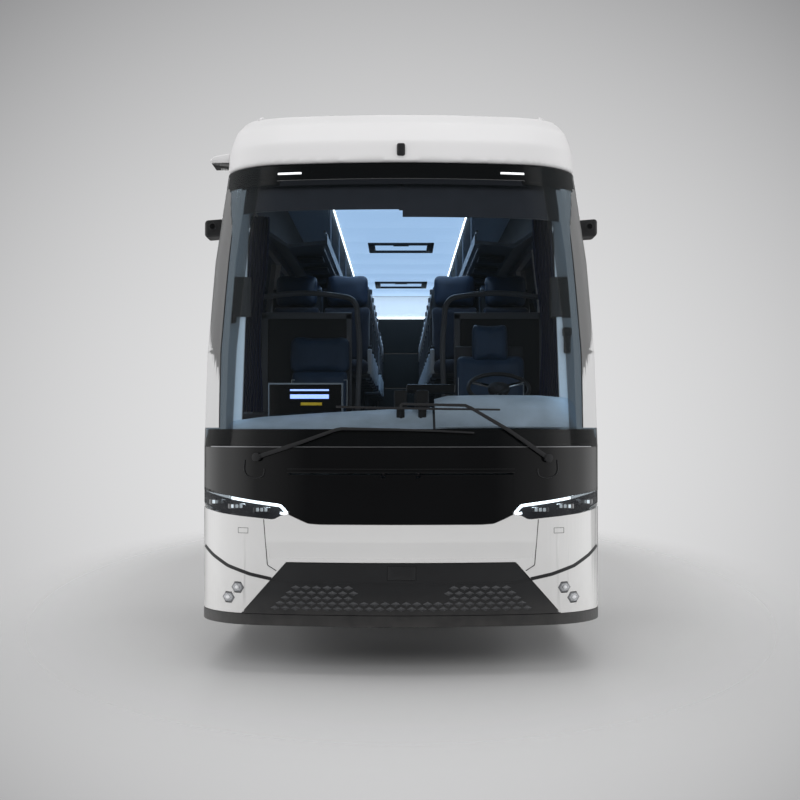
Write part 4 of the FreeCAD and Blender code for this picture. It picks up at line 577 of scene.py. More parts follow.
def overlaid(finish, share, colour):
    """A second colour laid over a finish where a pattern says so."""
    tree = finish.node_tree
    base = tree.nodes["Principled BSDF"].inputs["Base Color"]
    mix = add(tree, "Mix", share, data_type="RGBA")
    feed(tree, mix.inputs[6], base.links[0].from_socket)
    feed(tree, mix.inputs[7], colour)
    feed(tree, base, mix.outputs[2])


def dusted(finish, dust, low_z, high_z):
    """Road dust on a finish, thick at the skirt and gone above a height."""
    tree = finish.node_tree
    up = add(tree, "SeparateXYZ", metres(tree)).outputs["Z"]
    height = add(tree, "MapRange", up, from_min=low_z, from_max=high_z, to_min=DUST_SHARE, to_max=0.0)
    streak = add(tree, "TexNoise", metres(tree), scale=14.0, detail=5.0)
    overlaid(finish, calc(tree, "MULTIPLY", height.outputs[0], streak.outputs["Fac"]), dust)
    return finish


print("finish recipe ready")

# %% Paint, plastic and metal
white_paint = dusted(finish_of("white paint", (0.80, 0.797, 0.795), 0.22, coat=0.7, vary=0.012, patch=1.2,
                               grain=0.02, grain_scale=90.0), (0.42, 0.40, 0.37), 0.3, 0.75)
# The roof white is a darker copy of the body's white paint: painted shade that tones down the roof and cap under the
# strong light from above.
roof_white_painted_shade = finish_of("roof white with painted shade", (0.71, 0.705, 0.712), 0.46, coat=0.08, vary=0.015, patch=1.0, grain=0.02,
                      grain_scale=90.0)
cover_paint = finish_of("post cover paint", (0.66, 0.66, 0.665), 0.48, vary=0.02, patch=2.0, specular=0.2)
black_gloss = finish_of("black gloss panel", (0.004, 0.0042, 0.0048), 0.08, coat=0.5, specular=0.3, vary=0.1,
                        grain=0.01, grain_scale=60.0)
black_satin = finish_of("black moulded plastic", (0.018, 0.0185, 0.02), 0.5, vary=0.15, grain=0.25,
                        grain_scale=900.0)
bumper_black = dusted(finish_of("bumper plastic", (0.020, 0.0205, 0.022), 0.36, vary=0.12, grain=0.3,
                                grain_scale=700.0), (0.16, 0.15, 0.14), 0.3, 0.5)
# The diamond facets are the insert's black plastic made lighter: painted highlight, so they read as lit facets.
facet_black_painted_highlight = finish_of("facet plastic with painted highlight", (0.085, 0.087, 0.092), 0.30, coat=0.4)
seal_rubber = finish_of("seal rubber", (0.012, 0.012, 0.013), 0.7, vary=0.2, grain=0.2, grain_scale=300.0)
tyre_rubber = dusted(finish_of("tyre rubber", (0.022, 0.022, 0.023), 0.78, vary=0.3, patch=8.0, grain=0.5,
                               grain_scale=250.0), (0.15, 0.14, 0.13), 0.0, 0.9)
bellows_rubber = finish_of("bellows rubber", (0.02, 0.02, 0.021), 0.65, vary=0.25, grain=0.35, grain_scale=200.0)
wheel_paint = finish_of("wheel silver", (0.62, 0.63, 0.64), 0.32, metallic=0.85, coat=0.3, vary=0.05, patch=9.0,
                        grain=0.08, grain_scale=300.0)
bright_metal = finish_of("polished metal", (0.72, 0.73, 0.75), 0.14, metallic=1.0, vary=0.03, patch=20.0)
arm_metal = finish_of("brushed metal", (0.45, 0.46, 0.48), 0.35, metallic=0.9, vary=0.06, patch=12.0, grain=0.1)
axle_iron = dusted(finish_of("painted iron", (0.03, 0.031, 0.033), 0.6, vary=0.35, patch=12.0, grain=0.5,
                             grain_scale=120.0), (0.13, 0.11, 0.09), 0.2, 1.0)
frame_paint = dusted(finish_of("frame paint", (0.05, 0.052, 0.055), 0.55, vary=0.2, patch=4.0, grain=0.3,
                               grain_scale=150.0), (0.14, 0.12, 0.10), 0.2, 1.2)
lamp_grey = finish_of("lamp rim grey", (0.16, 0.165, 0.175), 0.3, metallic=0.3, coat=0.5)
label_yellow = finish_of("yellow label", (0.75, 0.55, 0.03), 0.5, vary=0.1)
print("paint, plastic and metal ready")

# %% Trim of the cabin
dash_trim = finish_of("dashboard skin", (0.20, 0.25, 0.30), 0.55, vary=0.05, patch=5.0, grain=0.5, grain_scale=500.0)
dark_trim = finish_of("dark cabin trim", (0.03, 0.033, 0.04), 0.5, vary=0.1, grain=0.4, grain_scale=600.0)
pale_trim = finish_of("pale cabin trim", (0.50, 0.58, 0.66), 0.5, vary=0.04, grain=0.15, grain_scale=500.0)
side_trim = finish_of("ceiling side trim", (0.16, 0.20, 0.24), 0.5, vary=0.04, grain=0.15, grain_scale=500.0)
rack_dark = finish_of("headliner cloth", (0.018, 0.021, 0.025), 0.85, vary=0.1, grain=0.3)
rack_trim = finish_of("rack trim", (0.16, 0.20, 0.25), 0.45, vary=0.06, grain=0.2, grain_scale=500.0)
hoop_grey = finish_of("hoop grey", (0.085, 0.095, 0.11), 0.4, vary=0.08, grain=0.1)
# A darker copy of the blind colour: painted shade for the strip under the head band, which gets more light than the
# blinds behind it.
blind_grey_painted_shade = finish_of("blind grey with painted shade", (0.017, 0.020, 0.027), 0.6)
rear_cloth = finish_of("rear lining cloth", (0.010, 0.013, 0.014), 0.8, vary=0.1)
print("cabin trim ready")


# %% Floor vinyl, cloth and leather
def speckled(name, base, fleck, roughness):
    """Vinyl with small flecks, as on coach floors."""
    finish = finish_of(name, base, roughness, vary=0.08, patch=2.0, grain=0.1)
    tree = finish.node_tree
    flecks = add(tree, "TexVoronoi", metres(tree), scale=260.0)
    chosen = calc(tree, "LESS_THAN", flecks.outputs["Distance"], 0.24)
    overlaid(finish, calc(tree, "MULTIPLY", chosen, 0.5), fleck)
    return finish


def woven(name, base, thread, threads=420.0, sheen=0.4):
    """Cloth with a fine crossed weave and a soft sheen."""
    finish = finish_of(name, base, 0.85, vary=0.12, patch=10.0, specular=0.2)
    tree = finish.node_tree
    tree.nodes["Principled BSDF"].inputs["Sheen Weight"].default_value = sheen
    waves = [add(tree, "TexWave", metres(tree), scale=threads / 6.2, distortion=0.4, bands_direction=way)
             for way in ("X", "Z")]
    weave = calc(tree, "MULTIPLY", *(wave.outputs["Fac"] for wave in waves))
    overlaid(finish, weave, thread)
    embossed(finish, weave, 0.35)
    return finish


def leather(name, colour, roughness=0.42):
    """Leather with the small cells of its grain."""
    finish = finish_of(name, colour, roughness, vary=0.15, patch=6.0)
    cells = add(finish.node_tree, "TexVoronoi", metres(finish.node_tree), scale=450.0)
    embossed(finish, cells.outputs["Distance"], 0.3, 0.0008)
    return finish


floor_vinyl = speckled("floor vinyl", (0.07, 0.075, 0.085), (0.25, 0.27, 0.3), 0.5)
bay_vinyl = speckled("luggage bay vinyl", (0.11, 0.11, 0.115), (0.3, 0.3, 0.3), 0.6)
seat_cloth = woven("seat cloth", (0.018, 0.024, 0.042), (0.05, 0.065, 0.10))
seat_leather = leather("seat leather", (0.020, 0.042, 0.085))
dash_grey = leather("dash grey", (0.52, 0.66, 0.80), 0.5)
curtain_cloth = woven("curtain cloth", (0.002, 0.005, 0.028), (0.004, 0.009, 0.045), sheen=0.05)
blind_cloth = woven("blind cloth", (0.036, 0.043, 0.058), (0.062, 0.070, 0.088), threads=700.0)
print("cloth and vinyl ready")


# %% Glass, lenses and lit panels
def pane(name, tint, clear, edge=0.9):
    """Tinted glass: see-through face on, mirror-like when seen edge on."""
    finish, tree, shader = new_finish(name)
    shader.inputs["Base Color"].default_value = (*tint, 1)
    clouds = add(tree, "TexNoise", metres(tree), scale=0.8, detail=2.0)
    feed(tree, shader.inputs["Roughness"], spread(tree, clouds.outputs["Fac"], 0.012, 0.032))
    edge_on = add(tree, "LayerWeight", blend=0.35).outputs["Fresnel"]
    feed(tree, shader.inputs["Alpha"], spread(tree, edge_on, 1 - clear, edge))
    return finish


def lit(name, colour, strength, base=(0.8, 0.8, 0.8)):
    """A panel that glows evenly with a faint grain; lamps use it, and so do linings whose glow is painted light."""
    finish = finish_of(name, base, 0.4, vary=0.04, patch=30.0)
    shader = finish.node_tree.nodes["Principled BSDF"]
    shader.inputs["Emission Color"].default_value = (*colour, 1)
    shader.inputs["Emission Strength"].default_value = strength
    return finish


screen_glass = pane("windscreen glass", (0.012, 0.016, 0.018), 0.90, edge=0.85)
side_glass = pane("tinted side glass", (0.006, 0.007, 0.008), 0.30, edge=1.0)
lens_clear = pane("clear lens", (0.03, 0.034, 0.042), 0.72)
red_lens = finish_of("red lens", (0.30, 0.006, 0.008), 0.12, coat=0.8, vary=0.1, patch=60.0, grain=0.5,
                     grain_scale=150.0)
amber_lens = finish_of("amber lens", (0.55, 0.16, 0.01), 0.15, coat=0.8, vary=0.1, patch=60.0, grain=0.5,
                       grain_scale=150.0)
ribbed_lens = finish_of("ribbed lens", (0.42, 0.43, 0.45), 0.2, metallic=0.5, coat=0.9, vary=0.3, patch=120.0,
                        grain=0.8, grain_scale=260.0)
screen_black = finish_of("display", (0.006, 0.007, 0.009), 0.06, coat=0.8, vary=0.1)
running_light = lit("running light", (0.80, 0.92, 1.0), 5.0)
marker_light = lit("marker light", (0.95, 0.97, 1.0), 0.9, base=(0.85, 0.86, 0.88))
lens_glow = lit("lens glow", (0.85, 0.95, 1.0), 0.6, base=(0.3, 0.35, 0.4))
ceiling_light = lit("ceiling light panel", (0.42, 0.66, 1.0), 1.0, base=(0.3, 0.3, 0.3))
bulkhead_light = lit("bulkhead light", (0.62, 0.80, 1.0), 0.95)
blue_light = lit("blue strip", (0.18, 0.36, 1.0), 1.7)
# The post linings glow though they are no lamps: painted light that makes them pale where they stand in shade behind
# the glass.
post_lining_painted_light = lit("post lining", (0.50, 0.65, 0.80), 0.27, base=(0.50, 0.58, 0.64))
# The screen frame's posts glow the same way: painted light, as the frame is no lamp.
frame_lining_painted_light = lit("frame lining painted light", (0.50, 0.64, 0.76), 1.15, base=(0.45, 0.52, 0.58))
print("glass and lamps ready")

# %% [markdown]
# ## Finishes for the solids
#
# Flat-faced solids stay as they came and only get their finish. Solids with curved skins,
# such as the nose, the roof and the front axle, are copied with their corners merged, so that
# light runs evenly over them, and the copy stands for the solid.

# %% Solids that only need a finish
CAD_FINISHES = (
    (white_paint, "side_wall_left side_wall_right front_door_leaf mid_door_leaf engine_lid front_lid_apron"),
    (white_paint, "front_mask rear_wall"), (roof_white_painted_shade, "roof roof_cap roof_unit"),
    (axle_iron, "front_axle rear_axle knuckle_left knuckle_right engine"), (frame_paint, "chassis_frame"),
    (floor_vinyl, "deck"), (bay_vinyl, "luggage_floor"), (bellows_rubber, "air_springs"),
    (black_satin, "roof_hatches camera_pods cab_fittings wipers steering_wheel"), (black_gloss, "front_lid_panel"),
    (bumper_black, "bumper_insert bumper_lip"), (dark_trim, "partitions"), (dash_trim, "dashboard"),
    (side_trim, "ceiling"), (rack_trim, "luggage_racks"), (pale_trim, "screen_frame"), (blind_cloth, "sun_blinds"),
    (seat_cloth, "passenger_seats"), (seat_leather, "crew_seats"), (arm_metal, "front_door_arms mid_door_arms"),
    (screen_glass, "windscreen"), (side_glass, "rear_window side_windows front_door_glass mid_door_glass"),
    (lens_clear, "headlamps corner_lamps"), (red_lens, "tail_lamps"),
)
finish_by_node = {name: finish for finish, names in CAD_FINISHES for name in names.split()}
for node in nodes.values():
    other = tyre_rubber if "tyre" in node.name else wheel_paint if "rim" in node.name else white_paint
    node.data.materials.clear()
    node.data.materials.append(finish_by_node.get(node.name, other))
print("finishes set on", len(nodes), "solids")

# %% Curved skins, smoothed
for node, finish in (
    ("windscreen", screen_glass), ("roof", roof_white_painted_shade), ("front_mask", white_paint), ("rear_wall", white_paint),
    ("screen_frame", frame_lining_painted_light), ("bumper_lip", bumper_black), ("front_axle", axle_iron),
):
    smooth_copy(node, finish)
apply_modifier(bpy.data.objects["roof_skin"], "WEIGHTED_NORMAL", keep_sharp=True)
print("curved skins smoothed")

# %% [markdown]
# ## The roof
#
# The cap over the windscreen is given an even mesh and smoothed, so that its corners shade
# as one soft form. Its rear end is drawn over the roof, and its wall gets a backing where
# the solid is thinnest. The cooling unit's top is let down a little, so that its fins and
# fans lie inside its height, and a slim rail runs along both roof edges.

# %% Roof cap
CAP_OVERLAP = 0.065
CAP_VOXEL = 0.018
BROW_LINE = ((3.484, 0.4544), (3.5868, 0.6816), (3.6527, 0.994))
BROW_HALF = 0.985
BROW_DEPTH = 0.035


def brow_back(x, z):
    """Setback of the cap's face from the nose at one height."""
    height = min(z, 3.654 - 0.055 * (x / 0.93) ** 2)
    for (z0, back0), (z1, back1) in zip(BROW_LINE, BROW_LINE[1:]):
        if height <= z1:
            return height, back0 + (back1 - back0) * (height - z0) / (z1 - z0)


cap = smooth_copy("roof_cap", roof_white_painted_shade)
cap_end = max(vertex.co.y for vertex in cap.data.vertices)
for vertex in cap.data.vertices:
    if vertex.co.y > cap_end - 0.001:
        vertex.co.y += CAP_OVERLAP
brow = []
for z in (3.50, 3.54, 3.5868, 3.615):
    row = []
    for k in range(61):
        x = BROW_HALF * (k / 30 - 1)
        height, back = brow_back(x, z)
        row.append((x, nose_y(x, CANT) - NOSE_RAKE + back, height))
    brow.append(row)
joined([cap, thicken(sheet_of(brow), BROW_DEPTH)])
apply_modifier(cap, "REMESH", mode="VOXEL", voxel_size=CAP_VOXEL)
apply_modifier(cap, "SMOOTH", factor=0.5, iterations=6)
bpy.ops.object.shade_smooth_by_angle(angle=math.radians(70))
print("cap has", len(cap.data.polygons), "faces")

# %% Top of the cooling unit, and rails along both roof edges
RAIL_FOOT = 3.600
RAIL_SHAPE = ((1.000, 3.600), (0.990, 3.630), (0.976, 3.676), (0.968, 3.684), (0.958, 3.680), (0.948, 3.640),
              (0.940, 3.600))
RAIL_GROWTH = ((-5.06, 0.25), (-4.93, 0.75), (-4.84, 1.0), (0.0, 1.0), (4.90, 1.0), (5.15, 0.1))

unit = smooth_copy("roof_unit", roof_white_painted_shade)
unit_top = max(vertex.co.z for vertex in unit.data.vertices)
for vertex in unit.data.vertices:
    if vertex.co.z > unit_top - 0.012:
        vertex.co.z = unit_top - 0.014
rails = []
for sign in (-1, 1):
    rows = [[(sign * x, y, RAIL_FOOT + (z - RAIL_FOOT) * grown) for x, z in RAIL_SHAPE[::sign]]
            for y, grown in RAIL_GROWTH]
    rails.append(thicken(sheet_of(rows), 0.004))
done(joined(rails), "roof rails", roof_white_painted_shade)
print("unit top at", round(unit_top, 3), "and roof rails laid")

# %% [markdown]
# ## The lower front
#
# The mask round the lamps is black above them and white below, in one moulding. The copy is
# cut along the line that the lamps hide, and each side of the cut gets its paint. The apron
# below the black lid has a soft crease: above it the sheet looks up at the light, below it
# the sheet turns under, so it is drawn here as rows of points instead of a flat solid.

# %% Two-tone mask
SPLIT_Z = 1.0
SPLIT_X = 0.7
SPLIT_SLOPE = 0.12
mask = bpy.data.objects["front_mask_skin"]
mask.data.materials.append(black_gloss)
alone(mask)
bpy.ops.object.mode_set(mode="EDIT")
for sign in (-1, 1):
    bpy.ops.mesh.select_all(action="SELECT")
    bpy.ops.mesh.bisect(plane_co=(sign * SPLIT_X, 0, SPLIT_Z), plane_no=(-sign * SPLIT_SLOPE, 0, 1))
bpy.ops.object.mode_set(mode="OBJECT")
for face in mask.data.polygons:
    middle = face.center
    face.material_index = int(middle.z > SPLIT_Z + SPLIT_SLOPE * (abs(middle.x) - SPLIT_X))
print("mask painted in two tones,", len(mask.data.polygons), "faces")

# %% Screen frame: black sill and header, corner posts pale with painted light
# The posts keep the glowing frame lining, which is painted light; the sill and header are black.
posts = bpy.data.objects["screen_frame_skin"]
posts.data.materials.append(black_gloss)
for face in posts.data.polygons:
    face.material_index = int(face.center.z < 1.456 or face.center.z > 3.058)
print("screen frame painted")

# %% Even black skins over the upper mask and the lid
BLACK_LIFT, BLACK_DEPTH = 0.0010, 0.0012
LID_LIFT, LID_DEPTH = 0.0020, 0.0016
LAMP_EDGE = [(0.690, 0.996), (0.738, 1.044), (0.907, 1.069), (1.055, 1.092), (1.24, 1.132), (1.262, 1.135)]
skins = [nose_sheet(level(1.392, 1.262), level(1.262, 1.262), BLACK_LIFT, BLACK_DEPTH, 110, 4),
         nose_sheet([(0.690, 1.262), (1.262, 1.262)], LAMP_EDGE, BLACK_LIFT, BLACK_DEPTH, 40, 6),
         nose_sheet([(-1.262, 1.262), (-0.690, 1.262)], flipped(LAMP_EDGE), BLACK_LIFT, BLACK_DEPTH, 40, 6)]
done(joined(skins), "black mask skin", black_gloss)
LID_HALF = 0.687
LID_FOOT = [(-0.687, 0.985), (-0.63, 0.955), (-0.57, 0.928), (-0.50, 0.922), (0.50, 0.922), (0.57, 0.928),
            (0.63, 0.955), (0.687, 0.985)]
LUG_FOOT = 1.206
LUG_START, LUG_END = 0.092, 0.120
strips = [nose_sheet(level(LUG_FOOT, LID_HALF), LID_FOOT, LID_LIFT, LID_DEPTH, 120, 8)]
for start, end in ((-LID_HALF, -LUG_END), (-LUG_START, LUG_START), (LUG_END, LID_HALF)):
    strips.append(nose_sheet([(start, 1.226), (end, 1.226)], [(start, LUG_FOOT), (end, LUG_FOOT)], LID_LIFT,
                             LID_DEPTH, 40, 3))
lid_skin = joined(strips)
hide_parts("front_lid_panel")
done(lid_skin, "black lid skin", black_gloss, "front_lid")
back = nose_sheet(level(1.20, 0.60), level(0.95, 0.60), -0.004, 0.016, 40, 4)
done(back, "lid backing", black_satin, "front_lid")
print("black skins laid")

# %% Apron with its crease
APRON_REACH_TOP, APRON_REACH_FOOT = 0.843, 0.819
APRON_TOP = ((0.0, 0.921), (0.50, 0.921), (0.57, 0.926), (0.63, 0.952), (0.695, 0.984), (0.735, 0.975),
             (0.78, 0.951), (0.843, 0.9505))
APRON_FOOT = ((0.0, 0.690), (0.698, 0.690), (0.714, 0.680), (0.757, 0.642), (0.772, 0.646), (0.819, 0.668))
APRON_END_TOP, APRON_END_FOOT = 0.9505, 0.668
APRON_CREASE = 0.814
APRON_LEVELS = ((0.0, -0.010), (0.5, -0.004), (0.92, 0.003), (1.0, 0.0045), (1.08, 0.003), (1.5, 0.0015),
                (2.0, 0.001))


def height_on(line, x):
    """Height of a broken line of (x, z) points at one distance from the middle."""
    for (x0, z0), (x1, z1) in zip(line, line[1:]):
        if x <= x1:
            return z0 + (z1 - z0) * (x - x0) / (x1 - x0)
    return line[-1][1]


apron_rows = []
for part, lift in APRON_LEVELS:
    row = []
    for k in range(97):
        across = k / 48 - 1
        foot_z = height_on(APRON_FOOT, abs(across) * APRON_REACH_FOOT)
        top_z = height_on(APRON_TOP, abs(across) * APRON_REACH_TOP)
        if part <= 1:
            z = foot_z + (APRON_CREASE - foot_z) * part
        else:
            z = APRON_CREASE + (top_z - APRON_CREASE) * (part - 1)
        grown = (z - APRON_END_FOOT) / (APRON_END_TOP - APRON_END_FOOT)
        reach = APRON_REACH_FOOT + (APRON_REACH_TOP - APRON_REACH_FOOT) * grown
        row.append(on_nose(across * reach, z, lift))
    apron_rows.append(row)
apron = thicken(sheet_of(apron_rows), 0.004)
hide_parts("front_lid_apron")
done(apron, "creased apron", white_paint, "front_lid", math.radians(20))
lid_seams = [nose_band([(sign * 0.8455, 0.950), (sign * 0.8215, 0.670), (sign * 0.766, 0.636)], 0.0045, 0.0016,
                       0.002, 40) for sign in (-1, 1)]
done(joined(lid_seams), "lid seams", seal_rubber)
print("apron made")

# %% The dark sweep and the screen foot strip
SWEEP = [(0.797, 0.585), (0.93, 0.612), (1.076, 0.658), (1.18, 0.715), (1.25, 0.765)]
for line, side_name in ((SWEEP, "left"), (flipped(SWEEP), "right")):
    sweep = nose_band(line, 0.021, 0.0012, 0.004, 30)
    done(sweep, "dark sweep " + side_name, black_satin)
sill_line = nose_band(level(1.396, 1.2), 0.004, 0.0022, 0.004, 60)
done(sill_line, "screen foot strip", arm_metal)
print("seams drawn")

# %% [markdown]
# ## Headlamps
#
# Each lamp is a dark well behind a clear cover, with three light units in it and a
# running light that follows the upper edge and hooks down at the inner end. The strip is a
# band on the nose skin that glows, a little inside the cover.

# %% Lamp wells, units, running lights and covers
LAMP_TOP = [(0.690, 0.992), (0.738, 1.040), (0.907, 1.065), (1.055, 1.088), (1.24, 1.128), (1.273, 1.133)]
LAMP_FOOT = [(0.690, 0.990), (0.782, 0.951), (1.0, 0.968), (1.112, 0.982), (1.24, 1.030), (1.273, 1.034)]
RUN_LINE = [(0.702, 0.990), (0.742, 1.034), (0.907, 1.056), (1.055, 1.078), (1.24, 1.118), (1.272, 1.124)]
RUN_HOOK = [(0.700, 0.990), (0.716, 0.985), (0.745, 0.990)]
LAMP_SINK = -0.045
LAMP_UNITS = ((0.86, 1.008), (1.02, 1.027), (1.15, 1.05))


def lamp_parts(turned):
    """Well, light units, running light and cover of one headlamp."""
    keep = flipped if turned else list
    name = " right" if turned else " left"
    well = nose_sheet(keep(LAMP_TOP), keep(LAMP_FOOT), LAMP_SINK, 0.004, 30, 4)
    done(well, "lamp well" + name, black_satin)
    units, eyes = [], []
    for x, z in LAMP_UNITS:
        x = -x if turned else x
        y = on_nose(x, z, -0.022).y
        units.append(block((x - 0.055, y, z - 0.017), (x + 0.055, y + 0.03, z + 0.017), 0.006))
        y = on_nose(x, z, -0.020).y
        for step in (-0.026, 0.0, 0.026):
            eyes.append(block((x + step - 0.009, y - 0.004, z - 0.011), (x + step + 0.009, y + 0.002, z + 0.011),
                              0.003))
    done(joined(units), "lamp units" + name, bright_metal)
    done(joined(eyes), "lamp eyes" + name, lens_glow)
    run = nose_band(keep(RUN_LINE), 0.016, -0.004, 0.008, 40)
    hook = nose_band(keep(RUN_HOOK), 0.014, -0.004, 0.008, 8)
    done(joined([run, hook]), "running light" + name, running_light)
    cover = nose_sheet(keep(LAMP_TOP), keep(LAMP_FOOT), 0.0, 0.003, 30, 4)
    if turned:
        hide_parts("headlamps")
    done(cover, "lamp cover" + name, lens_clear)


lamp_parts(False)
lamp_parts(True)
print("headlamps made")

# %% [markdown]
# ## Hexagonal fog lamps
#
# Two small six-sided lamps sit one above the other in each white corner. Each is a grey
# bezel with a bevelled rim, a lens of ribbed glass and a bright core.

# %% Hexagonal lamps
HEX_LAMPS = ((1.010, 0.528), (1.071, 0.463))
HEX_RADIUS = 0.0415
HEX_HEIGHT = 0.828


def hex_plates(radius, lift, depth):
    """A six-sided plate on the nose at each lamp, a little wider than tall."""
    plates = []
    for x, z in [(sign * x, z) for sign in (-1, 1) for x, z in HEX_LAMPS]:
        bpy.ops.object.select_all(action="DESELECT")
        bpy.ops.mesh.primitive_circle_add(vertices=6, radius=radius, fill_type="NGON")
        plate = bpy.context.object
        for k, vertex in enumerate(plate.data.vertices):
            turn = math.pi * k / 3
            vertex.co = on_nose(x + radius * math.cos(turn), z + radius * math.sin(turn) * HEX_HEIGHT, lift)
        if plate.data.polygons[0].normal.y > 0:
            plate.data.flip_normals()
        plates.append(bevelled(thicken(plate, depth), 0.003))
    return joined(plates)


bezel = hex_plates(HEX_RADIUS, 0.003, 0.02)
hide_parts("corner_lamps")
done(bezel, "hexagon lamp bezels", lamp_grey)
done(hex_plates(HEX_RADIUS * 0.80, 0.0055, 0.01), "hexagon lamp lenses", ribbed_lens)
done(hex_plates(HEX_RADIUS * 0.42, 0.0075, 0.01), "hexagon lamp cores", bright_metal)
print("hexagonal lamps made")

# %% [markdown]
# ## The bumper insert
#
# The black insert has a smooth upper field with a square cover for the tow point, a step,
# and below it a field of small raised diamonds, several rows deep at both ends and one row
# deep across the middle. One diamond is a four-sided low pyramid; it is placed on the skin
# of the nose as often as needed.

# %% Insert with its step, diamonds and square cover
smooth_copy("bumper_insert", bumper_black)
DIAMOND_X = 0.030
DIAMOND_Z = 0.0150
DIAMOND_PITCH = DIAMOND_X * 2.15
DIAMOND_SHAPE = ((-1, 0, 0.0002), (0, -1, 0.0002), (1, 0, 0.0002), (0, 1, 0.0002), (0, 0.1, 0.017))
DIAMOND_ROWS = ((0.535, 0.26, 0.66), (0.503, 0.26, 0.70), (0.471, 0.26, 0.745), (0.439, 0.0, 0.79),
                (0.409, 0.0, 0.83))
corners, faces = [], []
for number, (z, inner, outer) in enumerate(DIAMOND_ROWS):
    steps = int(outer / DIAMOND_PITCH) + 1
    shift = DIAMOND_PITCH / 2 * (number % 2)
    for x in (k * DIAMOND_PITCH + shift for k in range(-steps, steps + 1)):
        if inner <= abs(x) <= outer:
            first = len(corners)
            corners += [on_nose(x + across * DIAMOND_X, z + up * DIAMOND_Z, lift)
                        for across, up, lift in DIAMOND_SHAPE]
            faces += [(first + side, first + (side + 1) % 4, first + 4) for side in range(4)]
            faces.append((first + 3, first + 2, first + 1, first))
# Their lighter black is a painted highlight.
done(mesh_of(corners, faces), "bumper diamonds", facet_black_painted_highlight, angle=math.radians(8))
STEP_HALF = [(0, 0.561), (0.55, 0.563), (0.70, 0.566), (0.792, 0.580)]
step = nose_band(flipped(STEP_HALF[1:]) + STEP_HALF, 0.007, 0.003, 0.006, 50)
done(step, "bumper step", black_satin)
cover = nose_sheet([(-0.079, 0.666), (0.087, 0.666)], [(-0.079, 0.588), (0.087, 0.588)], 0.0035, 0.006, 6, 3)
done(bevelled(cover, 0.002), "tow point cover", bumper_black)
seam = nose_frame(-0.084, 0.092, 0.583, 0.671, 0.004, 0.0008, 0.002)
done(joined(seam), "tow cover seam", seal_rubber)
print("insert dressed with", len(corners) // 5, "diamonds")

# %% [markdown]
# ## Windscreen trim
#
# The glass has a printed black border inside it: a deep band at the foot that hides the
# wiper shafts, and a band at the head with two slim white marker lights. Pale covers with
# a thin dark edge stand over both corner posts.

# %% Printed borders, marker lights and the bright line under the head band
PRINT_LIFT, PRINT_DEPTH = -0.0045, 0.0006
HEAD_FOOT = 3.086
prints = [nose_sheet(level(1.506, 1.235), level(1.397, 1.262), PRINT_LIFT, PRINT_DEPTH, 70, 3),
          nose_sheet(level(3.186, 1.13), level(HEAD_FOOT, 1.14), PRINT_LIFT, PRINT_DEPTH, 70, 3)]
done(joined(prints), "printed borders", black_gloss)
# The strip continues the blinds in front of the frame header; its darker grey is painted shade.
blind_head = nose_sheet(level(3.0855, 1.12), level(3.050, 1.125), -0.0046, PRINT_DEPTH, 70, 3)
done(blind_head, "blind cassettes", blind_grey_painted_shade)
markers = [nose_sheet([(start, 3.136), (end, 3.136)], [(start, 3.124), (end, 3.124)], 0.001, 0.004, 8, 3)
           for start, end in ((-0.783, -0.632), (0.632, 0.783))]
done(joined(markers), "marker lights", marker_light)
head_line = nose_band([(-1.12, 3.080), (-0.9, 3.085), (0, HEAD_FOOT), (0.9, 3.085), (1.12, 3.080)], 0.003, -0.002,
                      0.002, 60)
done(head_line, "bright line under the head band", wheel_paint)
print("windscreen borders printed")

# %% White covers on the corner posts
POST_EDGE = ((1.515, 1.145), (1.75, 1.145), (2.0, 1.143), (2.4, 1.118), (2.785, 1.089), (2.98, 1.078),
             (3.04, 1.084), (3.07, 1.102), (3.086, 1.132))
POST_FOOT = 1.515
covers = []
for sign in (-1, 1):
    rows = []
    for k in range(45):
        z = POST_FOOT + (HEAD_FOOT - POST_FOOT) * k / 44
        inner, outer = height_on(POST_EDGE, z), half_width(z) - 0.0008
        line = [on_nose(sign * (inner + (outer - inner) * c / 12), z, 0.0014) for c in range(13)]
        rows.append(line[::sign])
    covers.append(thicken(sheet_of(rows), 0.0022))
done(joined(covers), "corner post covers", cover_paint)
edges = [nose_band([(sign * (x - 0.004), z) for z, x in POST_EDGE[:6]], 0.006, 0.0006, 0.002, 40)
         for sign in (-1, 1)]
done(joined(edges), "corner post edges", seal_rubber)
joint = nose_sheet(level(3.058, 0.013), level(2.90, 0.013), -0.062, 0.002, 4, 3)
done(joint, "blind joint", blind_cloth)
print("corner posts covered")

# %% [markdown]
# ## Wipers
#
# Both arms sweep to the same side: the one on the left of the picture ends in the lower
# blade, the other carries the upper blade on a link. Each has a round pivot with a cap, a
# flat tapering arm, and a blade made of a spine over a thin rubber lip that touches the glass.

# %% Arms, caps, blades
WIPER_LIFT = 0.030


def on_line(points, lift):
    """Points of a front-view line set off the nose."""
    return [on_nose(x, z, lift) for x, z in points]


def strip_along(points, lift, width, depth, taper=1.0):
    """A flat bar of even depth that follows a front-view line off the nose."""
    upper, lower = band_edges(resample(points, 24), width, taper)
    return bevelled(thicken(sheet_of([on_line(lower, lift), on_line(upper, lift)]), depth), 0.0015)


